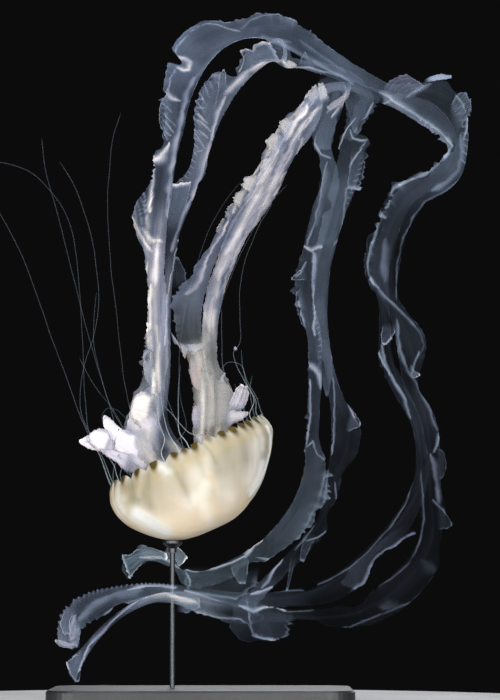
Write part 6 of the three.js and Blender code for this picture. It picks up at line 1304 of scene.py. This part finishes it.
# ------------------------------------------------------------------ floor, lights, camera
floor_me = bpy.data.meshes.new("floor")
fc = (PLACE + np.array([-48, -6, 0])) / 1000
n = 128
fv = [(fc[0] + 0.42 * math.cos(R2 * k / n), fc[1] + 0.42 * math.sin(R2 * k / n), -0.0004) for k in range(n)]
floor_me.from_pydata(fv, [], [list(range(n))])
floor = bpy.data.objects.new("floor", floor_me)
bpy.context.scene.collection.objects.link(floor)
fm, fnt, fp = material("floor_pale")
FN = Nodes(fnt)
FN.link(FN.ramp(FN.noise(9, 3, 0.5), [(0.3, lin(176, 177, 178)), (0.7, lin(190, 191, 192))]), fp.inputs["Base Color"])
fp.inputs["Roughness"].default_value = 0.8
floor_me.materials.append(fm)

scene = bpy.context.scene
world = bpy.data.worlds.new("dark_room")
world.use_nodes = True
world.node_tree.nodes["Background"].inputs[0].default_value = (*lin(12, 12, 13), 1)
world.node_tree.nodes["Background"].inputs[1].default_value = 1.0
scene.world = world
scene.view_settings.view_transform = "Standard"
scene.view_settings.look = "None"
scene.view_settings.exposure = 0
scene.cycles.transparent_max_bounces = 48
scene.cycles.max_bounces = 10


def area(name, at, aim, size, power, colour):
    d = bpy.data.lights.new(name, "AREA")
    d.shape = "RECTANGLE"
    d.size, d.size_y = size
    d.energy = power
    d.color = colour
    o = bpy.data.objects.new(name, d)
    bpy.context.scene.collection.objects.link(o)
    at, aim = Vector(at), Vector(aim)
    o.location = at
    o.rotation_euler = (aim - at).to_track_quat("-Z", "Y").to_euler()
    return o


mid = PLACE / 1000
area("key", Vector((-1.1, -1.5, 0.75)) + Vector(mid), Vector((-0.03, 0, 0.32)) + Vector(mid), (1.0, 1.2), 23, (1.0, 0.985, 0.96))
area("fill", Vector((1.3, -1.4, 0.9)) + Vector(mid), Vector((0.05, 0, 0.35)) + Vector(mid), (1.2, 1.2), 16, (0.93, 0.96, 1.0))
area("low", Vector((0.42, -1.25, 0.16)) + Vector(mid), Vector((-0.06, 0, 0.22)) + Vector(mid), (0.8, 0.25), 13, (1.0, 0.985, 0.96))
area("low_left", Vector((-0.62, -1.15, 0.15)) + Vector(mid), Vector((-0.10, 0, 0.18)) + Vector(mid), (0.6, 0.25), 7, (1.0, 0.985, 0.96))
area("top", Vector((0.1, 0.1, 1.9)) + Vector(mid), Vector((0.0, 0, 0.3)) + Vector(mid), (1.2, 1.0), 16, (0.95, 0.97, 1.0))
area("back", Vector((0.3, 1.5, 0.9)) + Vector(mid), Vector((0.0, 0, 0.35)) + Vector(mid), (1.2, 1.0), 10, (0.95, 0.97, 1.0))

cam_data = bpy.data.cameras.new("camera")
cam_data.lens = 154.7786
cam_data.sensor_width = 36
cam_data.clip_start, cam_data.clip_end = 0.1, 20
cam = bpy.data.objects.new("camera", cam_data)
scene.collection.objects.link(cam)
C = (np.array([0, -3000, 110.0]) + PLACE) / 1000
tilt = math.atan2(240, 3000)
cam.location = C
cam.rotation_euler = (math.pi / 2 + tilt, 0, 0)
scene.camera = cam
